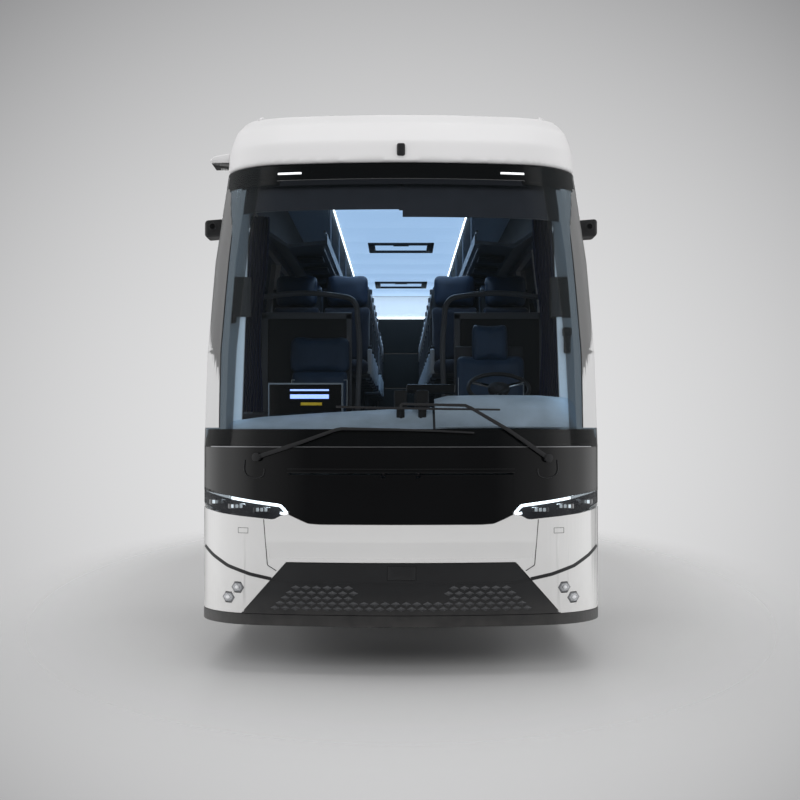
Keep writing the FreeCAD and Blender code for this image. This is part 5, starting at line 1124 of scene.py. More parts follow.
ARM_ROUTES = (
    [(-0.883, 1.333), (-0.60, 1.425), (-0.377, 1.506), (-0.006, 1.500)],
    [(0.901, 1.327), (0.65, 1.50), (0.398, 1.648), (0.0, 1.656)],
)
BLADES = ([(-0.377, 1.506), (-0.006, 1.500), (0.219, 1.493), (0.445, 1.481)],
          [(-0.395, 1.640), (-0.10, 1.632), (0.25, 1.627), (0.605, 1.623)])
wiper_pieces, rubber = [], []
for route, blade in zip(ARM_ROUTES, BLADES):
    wiper_pieces.append(strip_along(route, WIPER_LIFT + 0.004, 0.026, 0.012, 0.5))
    wiper_pieces.append(strip_along(blade, WIPER_LIFT - 0.006, 0.014, 0.010, 0.8))
    rubber.append(strip_along(blade, WIPER_LIFT - 0.016, 0.005, 0.014))
    x, z = route[0]
    wiper_pieces.append(bar(on_nose(x, z, -0.002), on_nose(x, z, WIPER_LIFT - 0.004), 0.022, 24, 0.003))
    wiper_pieces.append(bar(on_nose(x, z, WIPER_LIFT - 0.004), on_nose(x, z, WIPER_LIFT + 0.012), 0.027, 24, 0.005))
wiper_pieces.append(bar(on_nose(0.0, 1.656, WIPER_LIFT - 0.004), on_nose(0.0, 1.628, WIPER_LIFT - 0.008), 0.008, 12,
                        0.002))
wiper_set = joined(wiper_pieces)
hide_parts("wipers")
done(wiper_set, "wiper arms and blades", black_satin)
done(joined(rubber), "wiper rubbers", seal_rubber)
hooks = []
for sign in (-1, 1):
    bow = [(sign * 0.965, 1.315), (sign * 0.962, 1.235), (sign * 0.935, 1.212), (sign * 0.855, 1.215),
           (sign * 0.842, 1.240), (sign * 0.842, 1.262)]
    hooks.append(tube(on_line(bow, 0.006), 0.0035))
done(joined(hooks), "washer pipes", black_satin)
print("wipers made")

# %% [markdown]
# ## Panel groove and washer covers
#
# A dark groove above the lid hides its hinge, slanted ends lead it down to the lamps, and
# a fine frame in each white corner marks the cover of a lamp washer.

# %% Dark lines on the front
SLANT = [(0.716, 1.245), (0.854, 1.152)]
lines = [nose_band(level(1.2495, 0.716), 0.024, 0.0024, 0.002, 40)]
lines += [nose_band(slant, 0.018, 0.0008, 0.002, 10) for slant in (flipped(SLANT), SLANT)]
done(joined(lines), "panel groove", black_gloss)
rims = [nose_band(level(z, 0.70), 0.0022, 0.0030, 0.002, 40) for z in (1.238, 1.261)]
done(joined(rims), "groove edges", black_satin)
covers = []
for x0, x1 in ((-1.008, -0.945), (0.945, 1.008)):
    covers += nose_frame(x0, x1, 0.864, 0.896, 0.0025, 0.0006, 0.0015)
done(joined(covers), "washer cover seams", black_satin)
print("front lines drawn")

# %% [markdown]
# ## Cameras on the body
#
# Camera pods stand off both front posts, and a small wing for the kerb camera stands off
# the roof edge on the door side. A marker pod sits in the middle of the white cap.

# %% Pods, wing and marker pod
pods = []
for sign in (-1, 1):
    x0, x1 = sorted((sign * 1.185, sign * 1.315))
    pods.append(prism([(x0, 2.79), (x1, 2.80), (x1, 2.915), (x0, 2.905)], "Y", -5.255, -5.045, 0.022, 4))
    lens_x = sign * 1.262
    pods.append(bar((lens_x, -5.262, 2.862), (lens_x, -5.240, 2.862), 0.026, 24, 0.004))
    pods.append(bar((lens_x, -5.055, 2.862), (lens_x, -5.038, 2.862), 0.020, 24, 0.003))
wing = prism([(-1.120, 3.284), (-1.270, 3.280), (-1.272, 3.306), (-1.245, 3.330), (-1.120, 3.350)], "Y", -5.29,
             -5.03, 0.010, 3)
under = prism([(-1.125, 3.278), (-1.264, 3.278), (-1.264, 3.284), (-1.125, 3.288)], "Y", -5.28, -5.04, 0.002)
pod_set = joined(pods)
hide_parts("camera_pods")
done(pod_set, "camera pods", black_satin)
done(wing, "kerb camera wing", roof_white_painted_shade)
done(under, "kerb camera window", black_gloss)
glassy = [bar((x, -5.2635, 2.862), (x, -5.2615, 2.862), 0.017, 20) for x in (-1.262, 1.262)]
done(joined(glassy), "camera lenses", black_gloss)
marker = block((-0.026, -5.80, 3.232), (0.026, -5.73, 3.312), 0.012, 3)
done(marker, "marker pod", black_satin)
print("cameras made")

# %% [markdown]
# ## Seats
#
# A pad starts as a rounded block, is given an even mesh, and the cloth solver blows it up a
# little with gravity off, so its faces crown and its sides pull in. A seat is a cushion, a
# back pad and a headrest pad on a moulded shell, with a leg, armrests and a grab handle.

# %% A pad blown up by the cloth solver
PAD_STEPS = 20
PAD_PRESSURE = 4.0
FINE_CELL = 0.017


def pad(low, high, cell=0.024, swell=0.014, soft=0.035):
    """A crowned cushion between two corners."""
    inset = Vector((swell, swell, swell)) * 0.5
    piece = block(Vector(low) + inset, Vector(high) - inset, soft, 3)
    apply_modifier(piece, "REMESH", mode="VOXEL", voxel_size=cell)
    rest = [vertex.co.copy() for vertex in piece.data.vertices]
    alone(piece)
    cloth = piece.modifiers.new("Cloth", "CLOTH")
    cloth.settings.use_pressure = True
    cloth.settings.uniform_pressure_force = PAD_PRESSURE
    cloth.settings.effector_weights.gravity = 0
    for step in range(1, PAD_STEPS + 1):
        bpy.context.scene.frame_set(step)
    bpy.ops.object.modifier_apply(modifier=cloth.name)
    bpy.context.scene.frame_set(1)
    for vertex, start in zip(piece.data.vertices, rest):
        step = vertex.co - start
        if step.length > swell:
            vertex.co = start + step.normalized() * swell
    return piece


print("pad recipe ready")

# %% One seat at the origin: front edge at y 0, floor at z 0
SEAT_RISE = 0.70
SEAT_LEAN = 0.13
BACK_FOOT = 0.42


def leaned(piece, run=SEAT_LEAN):
    """Leans a piece back, more with its height above the foot of the back."""
    for vertex in piece.data.vertices:
        vertex.co.y += run * (vertex.co.z - BACK_FOOT) / SEAT_RISE
    return piece


def seat_parts(width, cell=0.024):
    """Cushion, back and headrest pads, shell and base of one seat."""
    half = width / 2
    cushion = pad((-half, 0.0, 0.345), (half, 0.46, 0.465), cell)
    back = pad((-half, 0.395, 0.44), (half, 0.52, 0.97), cell)
    for vertex in back.data.vertices:
        if vertex.co.y < 0.45:
            edge = min(1.0, abs(vertex.co.x) / half)
            vertex.co.y -= 0.028 * edge ** 4
    rest_pad = pad((-half * 0.88, 0.385, 0.945), (half * 0.88, 0.510, 1.245), cell, soft=0.05)
    shell = block((-half, 0.515, 0.40), (half, 0.545, 1.12), 0.012, 3)
    base = block((-half + 0.01, 0.03, 0.315), (half - 0.01, 0.50, 0.352), 0.010)
    return cushion, leaned(back), leaned(rest_pad), leaned(shell), base


def piping(width, z_low, z_high, y):
    """The cord sewn round the front edge of a back pad."""
    half = width / 2 - 0.014
    loop = [(-half, y, z_low), (half, y, z_low), (half, y, z_high), (-half, y, z_high)]
    return leaned(tube(loop, 0.0035, 1, smooth=False, closed=True))


print("seat recipe ready")

# %% One pair of passenger seats, its parts kept apart by finish
SEAT_WIDTH = 0.430
SEAT_CENTRES = (0.468, 0.912)
ARM_PLACES = (0.262, 0.690, 1.118)
seat = seat_parts(SEAT_WIDTH)
pair_pads = [moved(piece, (x, 0, 0)) for x in SEAT_CENTRES for piece in seat[:2]]
pair_rests = [moved(seat[2], (x, 0, 0)) for x in SEAT_CENTRES]
pair_shells = [moved(piece, (x, 0, 0)) for x in SEAT_CENTRES for piece in seat[3:]]
pair_shells += [block((x - 0.15, 0.578, 0.50), (x + 0.15, 0.586, 0.72), 0.004) for x in SEAT_CENTRES]
pair_shells += [block((x - 0.010, 0.44, 0.50), (x + 0.010, 0.50, 0.64), 0.004) for x in ARM_PLACES]
pair_legs = [bar((0.42, 0.20, 0.0), (0.42, 0.24, 0.32), 0.028), bar((0.42, 0.40, 0.0), (0.42, 0.36, 0.32), 0.028),
             block((0.385, 0.14, 0.0), (0.455, 0.46, 0.012), 0.004)]
pair_legs += [block((0.30, y, 0.29), (1.13, y + 0.04, 0.318), 0.004) for y in (0.20, 0.36)]
pair_arms = [block((x - 0.020, 0.10, 0.555), (x + 0.020, 0.46, 0.590), 0.014, 4) for x in ARM_PLACES]
pair_caps = [block((x - 0.019, 0.05, 0.350), (x + 0.019, 0.095, 0.560), 0.012, 4) for x in ARM_PLACES]
handle = tube([(0.262, 0.60, 0.86), (0.262, 0.585, 1.00), (0.262, 0.61, 1.06), (0.262, 0.645, 1.045),
               (0.262, 0.655, 0.95)], 0.010, 2)
UNIT = {
    "seat pads": (joined(pair_pads), seat_cloth, "seat_fabric"),
    "headrest pads": (joined(pair_rests), seat_leather, "seat_fabric"),
    "seat shells": (joined(pair_shells), dark_trim, "grey_trim"),
    "seat legs": (joined(pair_legs), frame_paint, "frame_steel"),
    "seat armrests": (joined(pair_arms), black_satin, "black_satin"),
    "armrest caps": (joined(pair_caps), pale_trim, "light_trim"),
    "grab handles": (handle, arm_metal, "arm_steel"),
}
print("one pair of seats made")

# %% Rows of seats on both sides
FLOOR = 1.62
ROW_PITCH = 0.78
FIRST_ROW = -2.95
LEFT_ROWS = tuple(range(11))
RIGHT_ROWS = (0, 1, 2, 3, 4, 7, 8, 9, 10)
for title, (unit, finish, slot) in UNIT.items():
    for label, rows, flip in (("left", LEFT_ROWS, False), ("right", RIGHT_ROWS, True)):
        base = mirrored(unit) if flip else copy_of(unit)
        copies = [moved(base, (0, FIRST_ROW + ROW_PITCH * k, FLOOR)) for k in rows]
        bpy.data.objects.remove(base)
        row_set = done(joined(copies), title + " " + label, finish, angle=PAD_ANGLE)
    bpy.data.objects.remove(unit)
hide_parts("passenger_seats")
for piece in seat:
    bpy.data.objects.remove(piece)
print("seat rows:", len(LEFT_ROWS) + len(RIGHT_ROWS))

# %% Driver's and guide's seats
CREW_FLOOR = 1.0
ARM_LEAN = 0.05


def crew_seat(x, front, width, title, wings):
    """One crew seat on its column, with wings at the head where asked."""
    cushion, back, rest_pad, shell, base = seat_parts(width, FINE_CELL)
    extras = []
    reach, rise = (0.64, 0.045) if wings else (1.22, -0.02)
    for vertex in rest_pad.data.vertices:
        vertex.co.x *= reach
        vertex.co.z += rise
    if wings:
        shoulders = pad((-0.270, 0.395, 0.66), (0.270, 0.520, 1.06), FINE_CELL, soft=0.06)
        for vertex in shoulders.data.vertices:
            vertex.co.y -= 0.05 * min(1.0, abs(vertex.co.x) / 0.27) ** 3
        extras.append(leaned(shoulders))
        extras += [pad((middle - 0.034, 0.03, 0.375), (middle + 0.034, 0.44, 0.485), FINE_CELL, 0.010, 0.026)
                   for middle in (-0.232, 0.232)]
    pads = joined([cushion, back, rest_pad] + extras)
    cord = piping(width, 0.50, 0.88, 0.392)
    column = [shell, base, bar((0, 0.25, 0.0), (0, 0.25, 0.32), 0.085, 24, 0.006),
              block((-0.17, 0.06, 0.0), (0.17, 0.44, 0.03), 0.010),
              block((-0.03, -0.005, 0.30), (0.03, 0.04, 0.33), 0.006)]
    column += [bar((0, 0.25, 0.08 + 0.045 * rib), (0, 0.25, 0.10 + 0.045 * rib), 0.096, 24, 0.005)
               for rib in range(5)]
    reach = width / 2 + 0.012
    arms = [leaned(block((middle - 0.022, 0.14, 0.63), (middle + 0.022, 0.47, 0.672), 0.016, 4), ARM_LEAN)
            for middle in (-reach, reach)]
    placed = []
    for piece, label, finish, slot in (
        (pads, "pads", seat_leather, "seat_fabric"), (cord, "piping", pale_trim, "light_trim"),
        (joined(column), "shell and column", dark_trim, "grey_trim"),
        (joined(arms), "armrests", black_satin, "black_satin"),
    ):
        for vertex in piece.data.vertices:
            vertex.co += Vector((x, front, CREW_FLOOR))
        placed.append(done(piece, title + " " + label, finish, angle=PAD_ANGLE))
    return placed


driver = crew_seat(0.654, -4.87, 0.50, "driver seat", True)
crew_seat(-0.62, -4.45, 0.45, "guide seat", False)
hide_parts("crew_seats")
print("crew seats made")

# %% [markdown]
# ## Driver's place
#
# The dash has two curved covers, a hooded binnacle with gauges, a screen on a stem, a row
# of switches and a console beside the stairs with blue light strips. The wheel has a
# padded rim on three bright spokes over a stalk column.

# %% Dash top, binnacle, screens and switches
done(block((-0.93, -5.79, 1.475), (1.01, -5.385, 1.497), 0.010, 3), "dash top", dash_trim)
vents = []
for k in range(9):
    x = -0.80 + 0.19 * k
    for rib in range(4):
        vents.append(block((x - 0.06, -5.735 + 0.018 * rib, 1.496), (x + 0.06, -5.729 + 0.018 * rib, 1.501), 0.001))
done(joined(vents), "dash vents", black_satin)
DASH_LOW = ((-1.10, 1.560, 1.505), (-0.9, 1.585, 1.508), (-0.5, 1.612, 1.508), (-0.05, 1.636, 1.508),
            (0.15, 1.640, 1.508), (0.21, 1.650, 1.508))
DASH_HIGH = ((0.215, 1.700, 1.515), (0.30, 1.722, 1.520), (0.6, 1.728, 1.522), (0.9, 1.724, 1.520),
             (1.08, 1.712, 1.515), (1.13, 1.690, 1.510))
DASH_DEPTH = 0.36
dash_tops = []
for line in (DASH_LOW, DASH_HIGH):
    rows = []
    for share in (0.0, 0.15, 0.35, 0.55, 0.75, 0.92, 1.0, 1.04):
        row = []
        for (x0, back0, front0), (x1, back1, front1) in zip(line, line[1:]):
            for c in range(6):
                mix = c / 6
                x = x0 + (x1 - x0) * mix
                back, front = back0 + (back1 - back0) * mix, front0 + (front1 - front0) * mix
                rise = math.sin(share * math.pi / 2) if share <= 1 else 0.86
                y = max(nose_y(x, 1.5) + 0.07, -5.86) + DASH_DEPTH * min(1.0, share) + (0.012 if share > 1 else 0)
                row.append((x, y, front + (back - front) * rise))
        rows.append(row)
    dash_tops.append(thicken(sheet_of(rows), 0.012))
done(joined(dash_tops), "dash covers", dash_grey, angle=math.radians(50))
hood = prism([(-5.60, 1.497), (-5.62, 1.560), (-5.56, 1.588), (-5.42, 1.570), (-5.405, 1.556), (-5.50, 1.548),
              (-5.52, 1.497)], "X", 0.322, 0.986, 0.006, 3)
gauges = [bar((x, -5.485, 1.530), (x, -5.475, 1.532), radius, 28, 0.002) for x, radius in
          ((0.44, 0.024), (0.58, 0.036), (0.72, 0.036), (0.86, 0.024))]
done(hood, "binnacle hood", dark_trim)
done(joined(gauges), "gauges", screen_black)
stems = [bar((0.10, -5.45, 1.58), (0.10, -5.45, 1.74), 0.014), bar((0.30, -5.45, 1.62), (0.30, -5.45, 1.74), 0.014)]
done(block((0.035, -5.47, 1.735), (0.355, -5.44, 1.798), 0.008, 3), "dash screen", screen_black)
done(joined(stems), "dash screen stem", black_satin)
switches = [block((x - 0.015, -5.376, 1.425), (x + 0.015, -5.362, 1.455), 0.003)
            for x in (-0.30 + 0.042 * k for k in range(8))]
done(joined(switches), "switch row", black_satin)
print("dash made")

# %% Steering wheel
WHEEL_CENTRE = Vector((0.654, -5.23, 1.78))
WHEEL_RADIUS = 0.215
WHEEL_LEAN = math.radians(30)
bpy.ops.object.select_all(action="DESELECT")
bpy.ops.mesh.primitive_torus_add(major_radius=WHEEL_RADIUS - 0.012, minor_radius=0.014, major_segments=64,
                                 minor_segments=14)
rim = bpy.context.object
spokes = []
for angle in (-90, 25, 155):
    spoke = block((0.045, -0.017, -0.006), (WHEEL_RADIUS - 0.014, 0.017, 0.006), 0.005, 3)
    spoke.rotation_euler = (0, 0, math.radians(angle))
    alone(spoke)
    bpy.ops.object.transform_apply(location=True, rotation=True, scale=True)
    spokes.append(spoke)
wheel_set = joined([rim, bar((0, 0, -0.03), (0, 0, 0.014), 0.072, 32, 0.010)])
spoke_set = joined(spokes)
for piece in (wheel_set, spoke_set):
    piece.rotation_euler = (WHEEL_LEAN, 0, 0)
    piece.location = WHEEL_CENTRE
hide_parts("steering_wheel")
done(wheel_set, "steering wheel rim", black_satin, angle=PAD_ANGLE)
done(spoke_set, "steering wheel spokes", bright_metal)
column = [bar(WHEEL_CENTRE, (0.654, -5.44, 1.46), 0.038, 24, 0.008)]
column += [bar((0.654, -5.30, 1.69), (0.654 + sign * 0.13, -5.285, 1.70), 0.007) for sign in (-1, 1)]
done(joined(column), "steering column and stalks", dark_trim)
print("steering wheel made")

# %% Console with its strips and its blank label, sensor posts, handset
done(block((-0.868, -5.380, 1.50), (-0.392, -5.374, 1.80), 0.004), "console face", black_gloss)
strips = [block((-0.73, -5.384, 1.757), (-0.475, -5.378, 1.768), 0.001),
          block((-0.73, -5.384, 1.706), (-0.475, -5.378, 1.734), 0.002)]
done(joined(strips), "console light strips", blue_light)
label = block((-0.66, -5.382, 1.662), (-0.52, -5.378, 1.681), 0.001)
done(label, "blank label", label_yellow)
posts = []
for x in (-0.003, 0.135):
    posts += [block((x - 0.042, -5.74, 1.63), (x + 0.042, -5.68, 1.752), 0.012, 3),
              block((x - 0.026, -5.73, 1.49), (x + 0.026, -5.69, 1.65), 0.010, 3)]
done(joined(posts), "sensor posts", black_satin)
handset = [block((1.063, -5.48, 2.00), (1.107, -5.44, 2.15), 0.010, 3),
           block((1.055, -5.486, 2.11), (1.115, -5.436, 2.17), 0.012, 3)]
done(joined(handset), "handset", black_satin)
print("console made")

# %% Monitors on both front posts
MONITOR_TURN = math.radians(25)
screens, brackets = [], []
for sign in (-1, 1):
    place = (-1.085, -5.42, 2.33) if sign < 0 else (1.05, -5.42, 2.37)
    shell = block((-0.075, -0.022, -0.135), (0.075, 0.022, 0.135), 0.014, 3)
    face = block((-0.062, 0.020, -0.118), (0.062, 0.026, 0.118), 0.004)
    stalk = bar((0, 0, 0.13), (sign * 0.04, 0.02, 0.20), 0.014)
    for piece in (shell, face, stalk):
        piece.rotation_euler = (0, 0, -sign * MONITOR_TURN)
        piece.location = place
        alone(piece)
        bpy.ops.object.transform_apply(location=True, rotation=True, scale=True)
    screens.append(face)
    brackets += [shell, stalk]
done(joined(brackets), "monitor shells", black_satin)
done(joined(screens), "monitor screens", screen_black)
print("monitors made")

# %% [markdown]
# ## Cabin lining
#
# The cabin is read through the windscreen, so it gets its real layers: post linings, pale with
# painted light that glows though they are no lamps, and gathered curtains at the front corners,
# a lit ceiling with two hatch frames, racks with rails, dark headliners over them, hooped
# partitions behind the crew, and a lit bulkhead over the dark quilted panels at the back.

# %% Ceiling panels, hatch frames, cove light and rack rails
CEILING_FOOT = 3.430
PANEL_START, PANEL_END = -3.25, 5.45
PANELS = 9
HATCHES = (0.05, 3.8)
RACK_START, RACK_END = -3.34, 5.56
step = (PANEL_END - PANEL_START) / PANELS
lights = [block((-0.575, start + 0.003, CEILING_FOOT - 0.008), (0.575, start + step - 0.003, CEILING_FOOT + 0.001),
                0.003) for start in (PANEL_START + step * k for k in range(PANELS))]
hatch_frames = []
for y in HATCHES:
    for x0, x1, back, front in ((-0.34, 0.34, -0.34, -0.27), (-0.34, 0.34, 0.27, 0.34), (-0.34, -0.27, -0.34, 0.34),
                                (0.27, 0.34, -0.34, 0.34)):
        hatch_frames.append(block((x0, y + back, CEILING_FOOT - 0.03), (x1, y + front, CEILING_FOOT), 0.008, 3))
    hatch_frames.append(bar((-0.08, y - 0.20, CEILING_FOOT - 0.02), (0.08, y - 0.20, CEILING_FOOT - 0.02), 0.008))
done(joined(lights), "ceiling light panels", ceiling_light)
done(joined(hatch_frames), "hatch frames", dark_trim)
coves = [block((x - 0.005, RACK_START, 3.418), (x + 0.005, RACK_END, 3.430), 0.001) for x in (-0.588, 0.588)]
done(joined(coves), "cove lights", running_light)
rails = [tube([(sign * x, RACK_START, z), (sign * x, RACK_END, z)], radius, 2, smooth=False) for sign in (-1, 1)
         for x, z, radius in ((0.615, 3.10, 0.011), (0.625, 2.965, 0.007))]
done(joined(rails), "rack rails", arm_metal)
passenger_units = []
for y in (FIRST_ROW + ROW_PITCH * k + 0.15 for k in LEFT_ROWS):
    passenger_units += [block((x, y, 2.945), (x + 0.22, y + 0.30, 2.968), 0.008) for x in (-0.88, 0.66)]
done(joined(passenger_units), "reading light units", dark_trim)
print("ceiling made")

# %% Partitions: hoops over padded panels
HOOP_Y = -3.78
HOOP = ((0.335, 1.64), (0.335, 2.35), (0.37, 2.50), (0.47, 2.535), (1.02, 2.535), (1.13, 2.50), (1.155, 2.35),
        (1.155, 1.64))
hoops = [tube([(sign * x, HOOP_Y, z) for x, z in HOOP], 0.021) for sign in (-1, 1)]
fills, borders = [], []
for x0, x1 in ((-1.13, -0.36), (0.36, 1.13)):
    fills.append(block((x0 + 0.10, HOOP_Y - 0.015, 1.66), (x1 - 0.06, HOOP_Y + 0.015, 2.36), 0.010, 3))
    borders.append(block((x0 + 0.05, HOOP_Y - 0.008, 2.355), (x1 - 0.02, HOOP_Y + 0.008, 2.41), 0.006))
    for edge in (x0 + 0.05, x1 - 0.07):
        borders.append(block((edge, HOOP_Y - 0.008, 1.64), (edge + 0.05, HOOP_Y + 0.008, 2.40), 0.006))
hoop_set = done(joined(hoops), "partition hoops", hoop_grey)
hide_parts("partitions")
done(joined(fills), "partition panels", black_satin)
done(joined(borders), "partition borders", hoop_grey)
print("partitions made")

# %% Curtains at the front corners
CURTAIN_FOLDS = 6
CURTAIN_DEPTH = 0.020
CURTAIN_FOOT, CURTAIN_HEIGHT = 1.62, 1.30


def curtain(sign):
    """A gathered curtain: rows of points that weave in and out along its width."""
    rows = []
    for r in range(13):
        share = r / 12
        z = CURTAIN_FOOT + CURTAIN_HEIGHT * share
        gather = 1.0 - 0.28 * math.sin(math.pi * min(1.0, share * 1.2)) ** 2
        row = []
        for c in range(73):
            across = c / 72
            wave = math.sin(across * CURTAIN_FOLDS * math.tau + 0.6 * share)
            x = sign * (1.045 - 0.125 * across * gather - 0.045 * share)
            row.append((x, -5.33 + 0.05 * across + wave * CURTAIN_DEPTH * (0.7 + 0.3 * share), z))
        rows.append(row)
    return rows


for sign, label in ((-1, "right"), (1, "left")):
    rows = curtain(sign)
    cloth_piece = thicken(sheet_of(rows), 0.0014, 0.0)
    done(cloth_piece, "front curtain " + label, curtain_cloth, angle=math.radians(80))

# %% Headliners, post linings and the back of the cabin
HEADLINER = ((1.078, 3.12), (1.068, 3.25), (1.046, 3.36), (0.98, 3.470), (0.86, 3.508), (0.62, 3.520))
POST_LINING = ((1.165, 1.45), (1.045, 1.45), (0.995, 2.98), (1.125, 2.98))
liners, linings = [], []
for sign in (-1, 1):
    rows = [[(sign * x, y, z) for x, z in HEADLINER] for y in (-4.95, -3.8, -1.6, 0.7, 3.0, 5.5)]
    liners.append(thicken(sheet_of(rows[::sign]), 0.004))
    linings.append(prism([(sign * x, z) for x, z in POST_LINING], "Y", -5.44, -5.415, 0.006, 3))
done(joined(liners), "side headliners", rack_dark)
# The post linings carry painted light: they glow, though they are no lamps.
done(joined(linings), "post linings", post_lining_painted_light)
quilts = [block((x0, 5.550, z0), (x0 + 0.655, 5.566, z1), 0.010, 3) for x0 in (-0.99, -0.3275, 0.335)
          for z0, z1 in ((1.66, 2.10), (2.105, 2.60), (2.605, 3.10))]
done(joined(quilts), "rear lining panels", rear_cloth)
bulkhead = block((-0.95, 5.555, 3.12), (0.95, 5.575, 3.425), 0.008, 3)
done(bulkhead, "rear bulkhead", bulkhead_light)
bulkhead_edge = block((-0.50, 5.545, 3.105), (0.50, 5.560, 3.122), 0.003)
done(bulkhead_edge, "bulkhead edge light", running_light)
print("linings made")

# %% [markdown]
# ## Sides
#
# Both sides get black strips round the flush glass, door seals and buttons, locks and seams
# on the luggage flaps, a fuel flap, seams under the windows and small side marker lamps.

# %% Plates on the side skin
def side_plate(sign, y0, y1, z0, z1, lift=0.0006, depth=0.0022, rows=9):
    """A thin plate on one side wall between two heights, following its lean."""
    grid = []
    for r in range(rows):
        z = z0 + (z1 - z0) * r / (rows - 1)
        x = sign * (half_width(z) + lift)
        grid.append([(x, y0, z), (x, (y0 + y1) / 2, z), (x, y1, z)][::sign])
    return thicken(sheet_of(grid), depth)


def side_frame(sign, y0, y1, z0, z1, width, lift=0.0006):
    """Four strips round a rectangle on the side skin."""
    return [side_plate(sign, y0, y1, z0, z0 + width, lift, rows=3),
            side_plate(sign, y0, y1, z1 - width, z1, lift, rows=3),
            side_plate(sign, y0, y0 + width, z0 + width, z1 - width, lift),
            side_plate(sign, y1 - width, y1, z0 + width, z1 - width, lift)]


WINDOW_SILL, WINDOW_HEAD, PILLAR = 2.00, 3.04, 0.07
STRIP = 0.05


def pane_edges(start, end, count):
    """Start and end of each pane along one run of glass."""
    width = (end - start - PILLAR * (count - 1)) / count
    return [(start + k * (width + PILLAR), start + k * (width + PILLAR) + width) for k in range(count)]


black_strips = []
for sign, start, end, count in ((1, -4.22, 5.49, 6), (-1, -4.22, 1.098, 4), (-1, 2.138, 5.49, 2)):
    edges = pane_edges(start, end, count)
    black_strips += [side_plate(sign, start - STRIP, end + STRIP, WINDOW_SILL - STRIP, WINDOW_SILL, rows=3),
                     side_plate(sign, start - STRIP, end + STRIP, WINDOW_HEAD, WINDOW_HEAD + 0.04, rows=3),
                     side_plate(sign, start - STRIP, start, WINDOW_SILL, WINDOW_HEAD),
                     side_plate(sign, end, end + STRIP, WINDOW_SILL, WINDOW_HEAD)]
    black_strips += [side_plate(sign, pane_end, next_start, WINDOW_SILL, WINDOW_HEAD)
                     for (_, pane_end), (next_start, _) in zip(edges, edges[1:])]
done(joined(black_strips), "window strips", black_gloss)
print("window strips:", len(black_strips))

# %% Flap strips, locks, pull frames and painted crease lines, one set for each flap
FLAP_FOOT = 0.345


def flap_trim(sign, y0, y1, number, side_name):
    """Rubber foot strip, two locks, a pull frame and two grey strips that paint the light and shade of a crease, for
    one luggage flap.
    """
    body = f"flap_{side_name}_{number}"
    label = f"{side_name} {number}"
    locks = []
    x = sign * HALF
    x0, x1 = sorted((x, x + sign * 0.007))
    for y in (y0 + 0.28, y1 - 0.28):
        locks.append(bar((x - sign * 0.004, y, 0.455), (x + sign * 0.005, y, 0.455), 0.020, 24, 0.002))
        locks.append(block((x0, y - 0.003, 0.445), (x1, y + 0.003, 0.465), 0.001))
    middle = (y0 + y1) / 2
    strips = [side_plate(sign, y0 + 0.02, y1 - 0.02, FLAP_FOOT + 0.012, FLAP_FOOT + 0.052, 0.003, 0.004, 3)]
    strips += side_frame(sign, middle - 0.09, middle + 0.09, 0.43, 0.485, 0.008, 0.003)
    # Each crease is not folded: a grey strip paints its light and shade.
    painted_crease_lines = [side_plate(sign, y0 + 0.03, y1 - 0.03, z0, z1, 0.0008, 0.0016, 3)
               for z0, z1 in ((0.80, 0.808), (1.10, 1.106))]
    done(joined(strips), "flap strip " + label, seal_rubber, body=body)
    done(joined(locks), "flap locks " + label, bright_metal, body=body)
    done(joined(painted_crease_lines), "flap creases " + label, wheel_paint, body=body)


for side_name, sign, start, end, count in (("left", 1, -2.578, 2.048, 3), ("right", -1, -2.578, 1.148, 2)):
    pitch = (end - start) / count
    for k in range(count):
        flap_trim(sign, start + pitch * k + 0.01, start + pitch * (k + 1) - 0.01, k + 1, side_name)
print("flaps trimmed")

# %% Side markers, fuel flap, rear service flaps and panel seams
MARKER_PLACES = (-4.10, -2.62, -0.98, 0.62, 3.62, 5.20)
SEAM = 0.004
amber, seams = [], []
for sign in (-1, 1):
    amber += [bevelled(side_plate(sign, y - 0.045, y + 0.045, 1.285, 1.312, 0.007, 0.006, 3), 0.002)
              for y in MARKER_PLACES]
    seams += side_frame(sign, 3.52, 4.62, 0.42, 1.26, SEAM)
    seams += side_frame(sign, 4.66, 5.56, 0.42, 1.26, SEAM)
    seams.append(side_plate(sign, -2.60, 5.70, 1.36, 1.364, depth=0.0016, rows=3))
seams += side_frame(1, -4.20, -3.98, 0.62, 0.96, SEAM)
done(joined(amber), "side markers", amber_lens)
done(joined(seams), "service flap seams", seal_rubber)
grilles = [side_plate(1, 4.74, 5.48, z, z + 0.026, 0.005, 0.004, 3) for z in (0.56 + 0.052 * k for k in range(11))]
done(joined(grilles), "radiator grille", black_satin)
print("side fittings made")

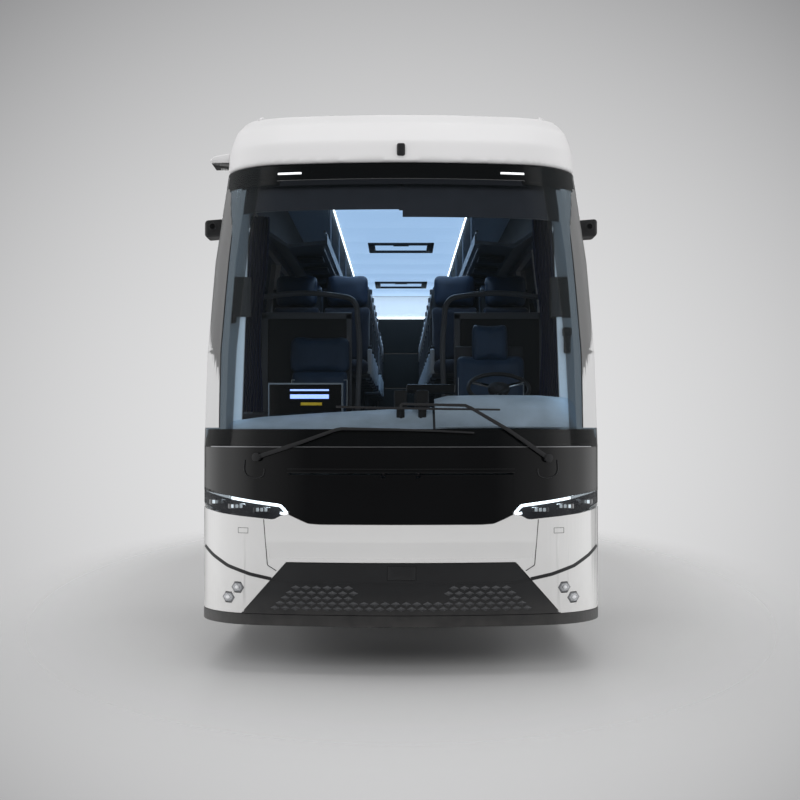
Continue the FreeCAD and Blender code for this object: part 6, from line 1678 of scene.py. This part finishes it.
# %% Doors: seals, pulls and buttons
def door_trim(body, y0, y1, top, pulls):
    """Seals round a leaf and its glass, an outside button and, where asked, pulls on the inside."""
    name = body.replace("_", " ")
    pieces = side_frame(-1, y0 - 0.004, y1 + 0.004, 0.340, top, 0.022, 0.0012)
    for z0, z1 in ((0.75, 1.26), (1.66, top - 0.07)):
        pieces += side_frame(-1, y0 + 0.07, y1 - 0.07, z0, z1, 0.012, 0.0012)
    done(joined(pieces), name + " seals", seal_rubber, body=body)
    if pulls:
        y = y0 + 0.16
        pull = tube([(-1.205, y, 1.30), (-1.165, y, 1.33), (-1.165, y, 1.78), (-1.195, y, 1.82)], 0.014)
        cross = tube([(-1.175, y0 + 0.06, 1.46), (-1.165, (y0 + y1) / 2, 1.46), (-1.175, y1 - 0.06, 1.46)], 0.012)
        done(joined([pull, cross]), name + " pulls", arm_metal, body=body)
    plate = block((-HALF - 0.005, y1 - 0.19, 1.36), (-HALF + 0.002, y1 - 0.11, 1.44), 0.003)
    button = bar((-HALF - 0.009, y1 - 0.15, 1.40), (-HALF - 0.003, y1 - 0.15, 1.40), 0.016, 24, 0.002)
    done(joined([plate, button]), name + " button", black_satin, body=body)


door_trim("front_door", -5.226, -4.338, 2.690, True)
door_trim("mid_door", 1.176, 2.044, 2.268, False)
print("doors trimmed")

# %% Wheels: hub covers, nuts and valves
AXLE_HEIGHT = 0.522
NUT_CIRCLE = 0.1675


def wheel_trim(body, sign, y, face, label):
    """Nuts on their circle, a stepped hub cover and a valve on one wheel."""
    def stud(start, end, circle, turn, radius, sides, bevel):
        """A bar along the axle, at one place on a circle round it."""
        here = y + circle * math.sin(turn), AXLE_HEIGHT + circle * math.cos(turn)
        return bar((sign * (face + start), *here), (sign * (face + end), *here), radius, sides, bevel)

    nuts, cover = [], [stud(-0.02, 0.035, 0, 0, 0.092, 40, 0.008), stud(0.030, 0.052, 0, 0, 0.062, 40, 0.006)]
    for turn in (math.tau * (k + 0.5) / 10 for k in range(10)):
        nuts += [stud(0, 0.010, NUT_CIRCLE, turn, 0.019, 20, 0.001),
                 stud(0, 0.030, NUT_CIRCLE, turn, 0.0155, 6, 0.0015)]
    cover += [stud(0.03, 0.042, 0.074, math.tau * k / 6, 0.006, 6, 0.001) for k in range(6)]
    cover.append(bar((sign * (face + 0.002), y + 0.225, AXLE_HEIGHT), (sign * (face + 0.035), y + 0.215, AXLE_HEIGHT),
                     0.005, 12, 0.001))
    done(joined(nuts), "wheel nuts " + label, bright_metal, body=body)
    done(joined(cover), "hub cover " + label, wheel_paint, body=body)


for sign, side_name in ((-1, "right"), (1, "left")):
    wheel_trim(f"front_{side_name}_wheel", sign, -3.29, 1.168, "front " + side_name)
    wheel_trim(f"rear_{side_name}_wheels", sign, 2.76, 1.048, "rear " + side_name)
print("wheels trimmed")

# %% [markdown]
# ## Rear and roof
#
# The rear has stacked round lamps in dark wells, bumper seams, a blank plate place with
# its lamps, louvre slats and a high brake light. The roof carries a finned cooling unit
# with four fans, and two ribbed hatch lids.

# %% Lamps, slats and bumper at the back
REAR_Y = 6.05
TAIL_CORNER = 0.26
LOUVRE_FOOT, LOUVRE_PITCH = 0.76, 0.5 / 6


def rear_y(x):
    """Length position of the rear skin below the sill."""
    edge = max(0.0, abs(x) - (HALF - TAIL_CORNER))
    return REAR_Y - TAIL_CORNER + math.sqrt(max(0.0, TAIL_CORNER ** 2 - edge ** 2))


wells, reds, ambers, clears = [], [], [], []
for sign in (-1, 1):
    for z, bucket in ((1.255, ambers), (1.135, reds), (1.015, reds), (0.905, clears)):
        x = sign * 1.013
        y = rear_y(x) - 0.004
        wells.append(bar((x, y - 0.030, z), (x, y - 0.001, z), 0.052, 32, 0.003))
        bucket.append(bar((x, y - 0.012, z), (x, y + 0.001, z), 0.046, 32, 0.006))
done(joined(wells), "rear lamp wells", black_satin)
done(joined(ambers), "rear amber lamps", amber_lens)
done(joined(clears), "rear clear lamps", lens_clear)
brake_lamp = block((-0.22, REAR_Y - 0.098, 3.10), (0.22, REAR_Y - 0.070, 3.125), 0.006, 3)
fog = [bar((sign * 0.90, rear_y(0.9) - 0.01, 0.47), (sign * 0.90, rear_y(0.9) - 0.001, 0.47), 0.040, 32, 0.004)
       for sign in (-1, 1)]
done(joined(reds + fog + [brake_lamp]), "rear red lamps", red_lens)
slats = []
for z in (LOUVRE_FOOT + k * LOUVRE_PITCH for k in range(6)):
    slat = block((-0.55, REAR_Y - 0.040, z + 0.004), (0.55, REAR_Y - 0.034, z + 0.041), 0.002)
    for vertex in slat.data.vertices:
        vertex.co.y -= 0.5 * (vertex.co.z - z)
    slats.append(slat)
done(joined(slats), "louvre slats", black_satin, body="engine_cover")
plate_back = block((-0.27, REAR_Y - 0.012, 0.525), (0.27, REAR_Y - 0.003, 0.645), 0.004)
plate_lamps = [block((x - 0.03, REAR_Y - 0.012, 0.652), (x + 0.03, REAR_Y - 0.001, 0.668), 0.003)
               for x in (-0.15, 0.15)]
done(plate_back, "blank plate place", pale_trim)
done(joined(plate_lamps), "plate lamps", black_satin)


def rear_seam(z):
    """A fine strip round the lower rear skin."""
    return thicken(sheet_of([[(x, rear_y(x) + 0.0006, height) for x in (1.20 * (c / 20 - 1) for c in range(41))]
                             for height in (z + 0.004, z + 0.002, z)]), 0.002)


done(joined([rear_seam(0.372), rear_seam(0.690)]), "rear bumper seams", seal_rubber)
latch = block((-0.06, REAR_Y - 0.006, 0.700), (0.06, REAR_Y - 0.001, 0.735), 0.002)
done(latch, "engine lid latch", black_satin, body="engine_cover")
print("rear fittings made")

# %% Fins, fans and guards of the roof unit, and hatch lids
FAN_RADIUS = 0.25
guard_z = unit_top - 0.002
fins = [block((x - 0.30, y, unit_top - 0.010), (x + 0.30, y + 0.010, unit_top - 0.001), 0.001)
        for y in (0.92 + 0.028 * k for k in range(22)) for x in (-0.40, 0.40)]
fans, guards = [], []


def round_fan(x, y, radius, turn):
    """A point of a fan guard."""
    return x + radius * math.cos(turn), y + radius * math.sin(turn), guard_z


for x, y in ((x, y) for x in (-0.40, 0.40) for y in (1.95, 2.58)):
    fans.append(bar((x, y, unit_top - 0.012), (x, y, guard_z), FAN_RADIUS, 48, 0.003))
    for radius in (0.05 + 0.045 * ring for ring in range(5)):
        guards.append(tube([round_fan(x, y, radius, turn) for turn in (0, math.pi / 2, math.pi, -math.pi / 2)],
                           0.0016, 1, closed=True))
    for turn in (math.pi * spoke / 6 for spoke in range(6)):
        guards.append(bar(round_fan(x, y, -0.24, turn), round_fan(x, y, 0.24, turn), 0.0015, 6))
done(joined(fins), "roof unit fins", frame_paint)
done(joined(fans), "roof unit fans", black_satin)
done(joined(guards), "fan guards", bright_metal)
lids = []
for y in HATCHES:
    lids.append(block((-0.27, y - 0.27, 3.682), (0.27, y + 0.27, 3.694), 0.005))
    lids += [block((x - 0.012, y - 0.24, 3.690), (x + 0.012, y + 0.24, 3.6945), 0.002) for x in (-0.15, 0, 0.15)]
done(joined(lids), "hatch lids", wheel_paint)
print("roof fittings made")

# %% End of the scene
print("scene finished")
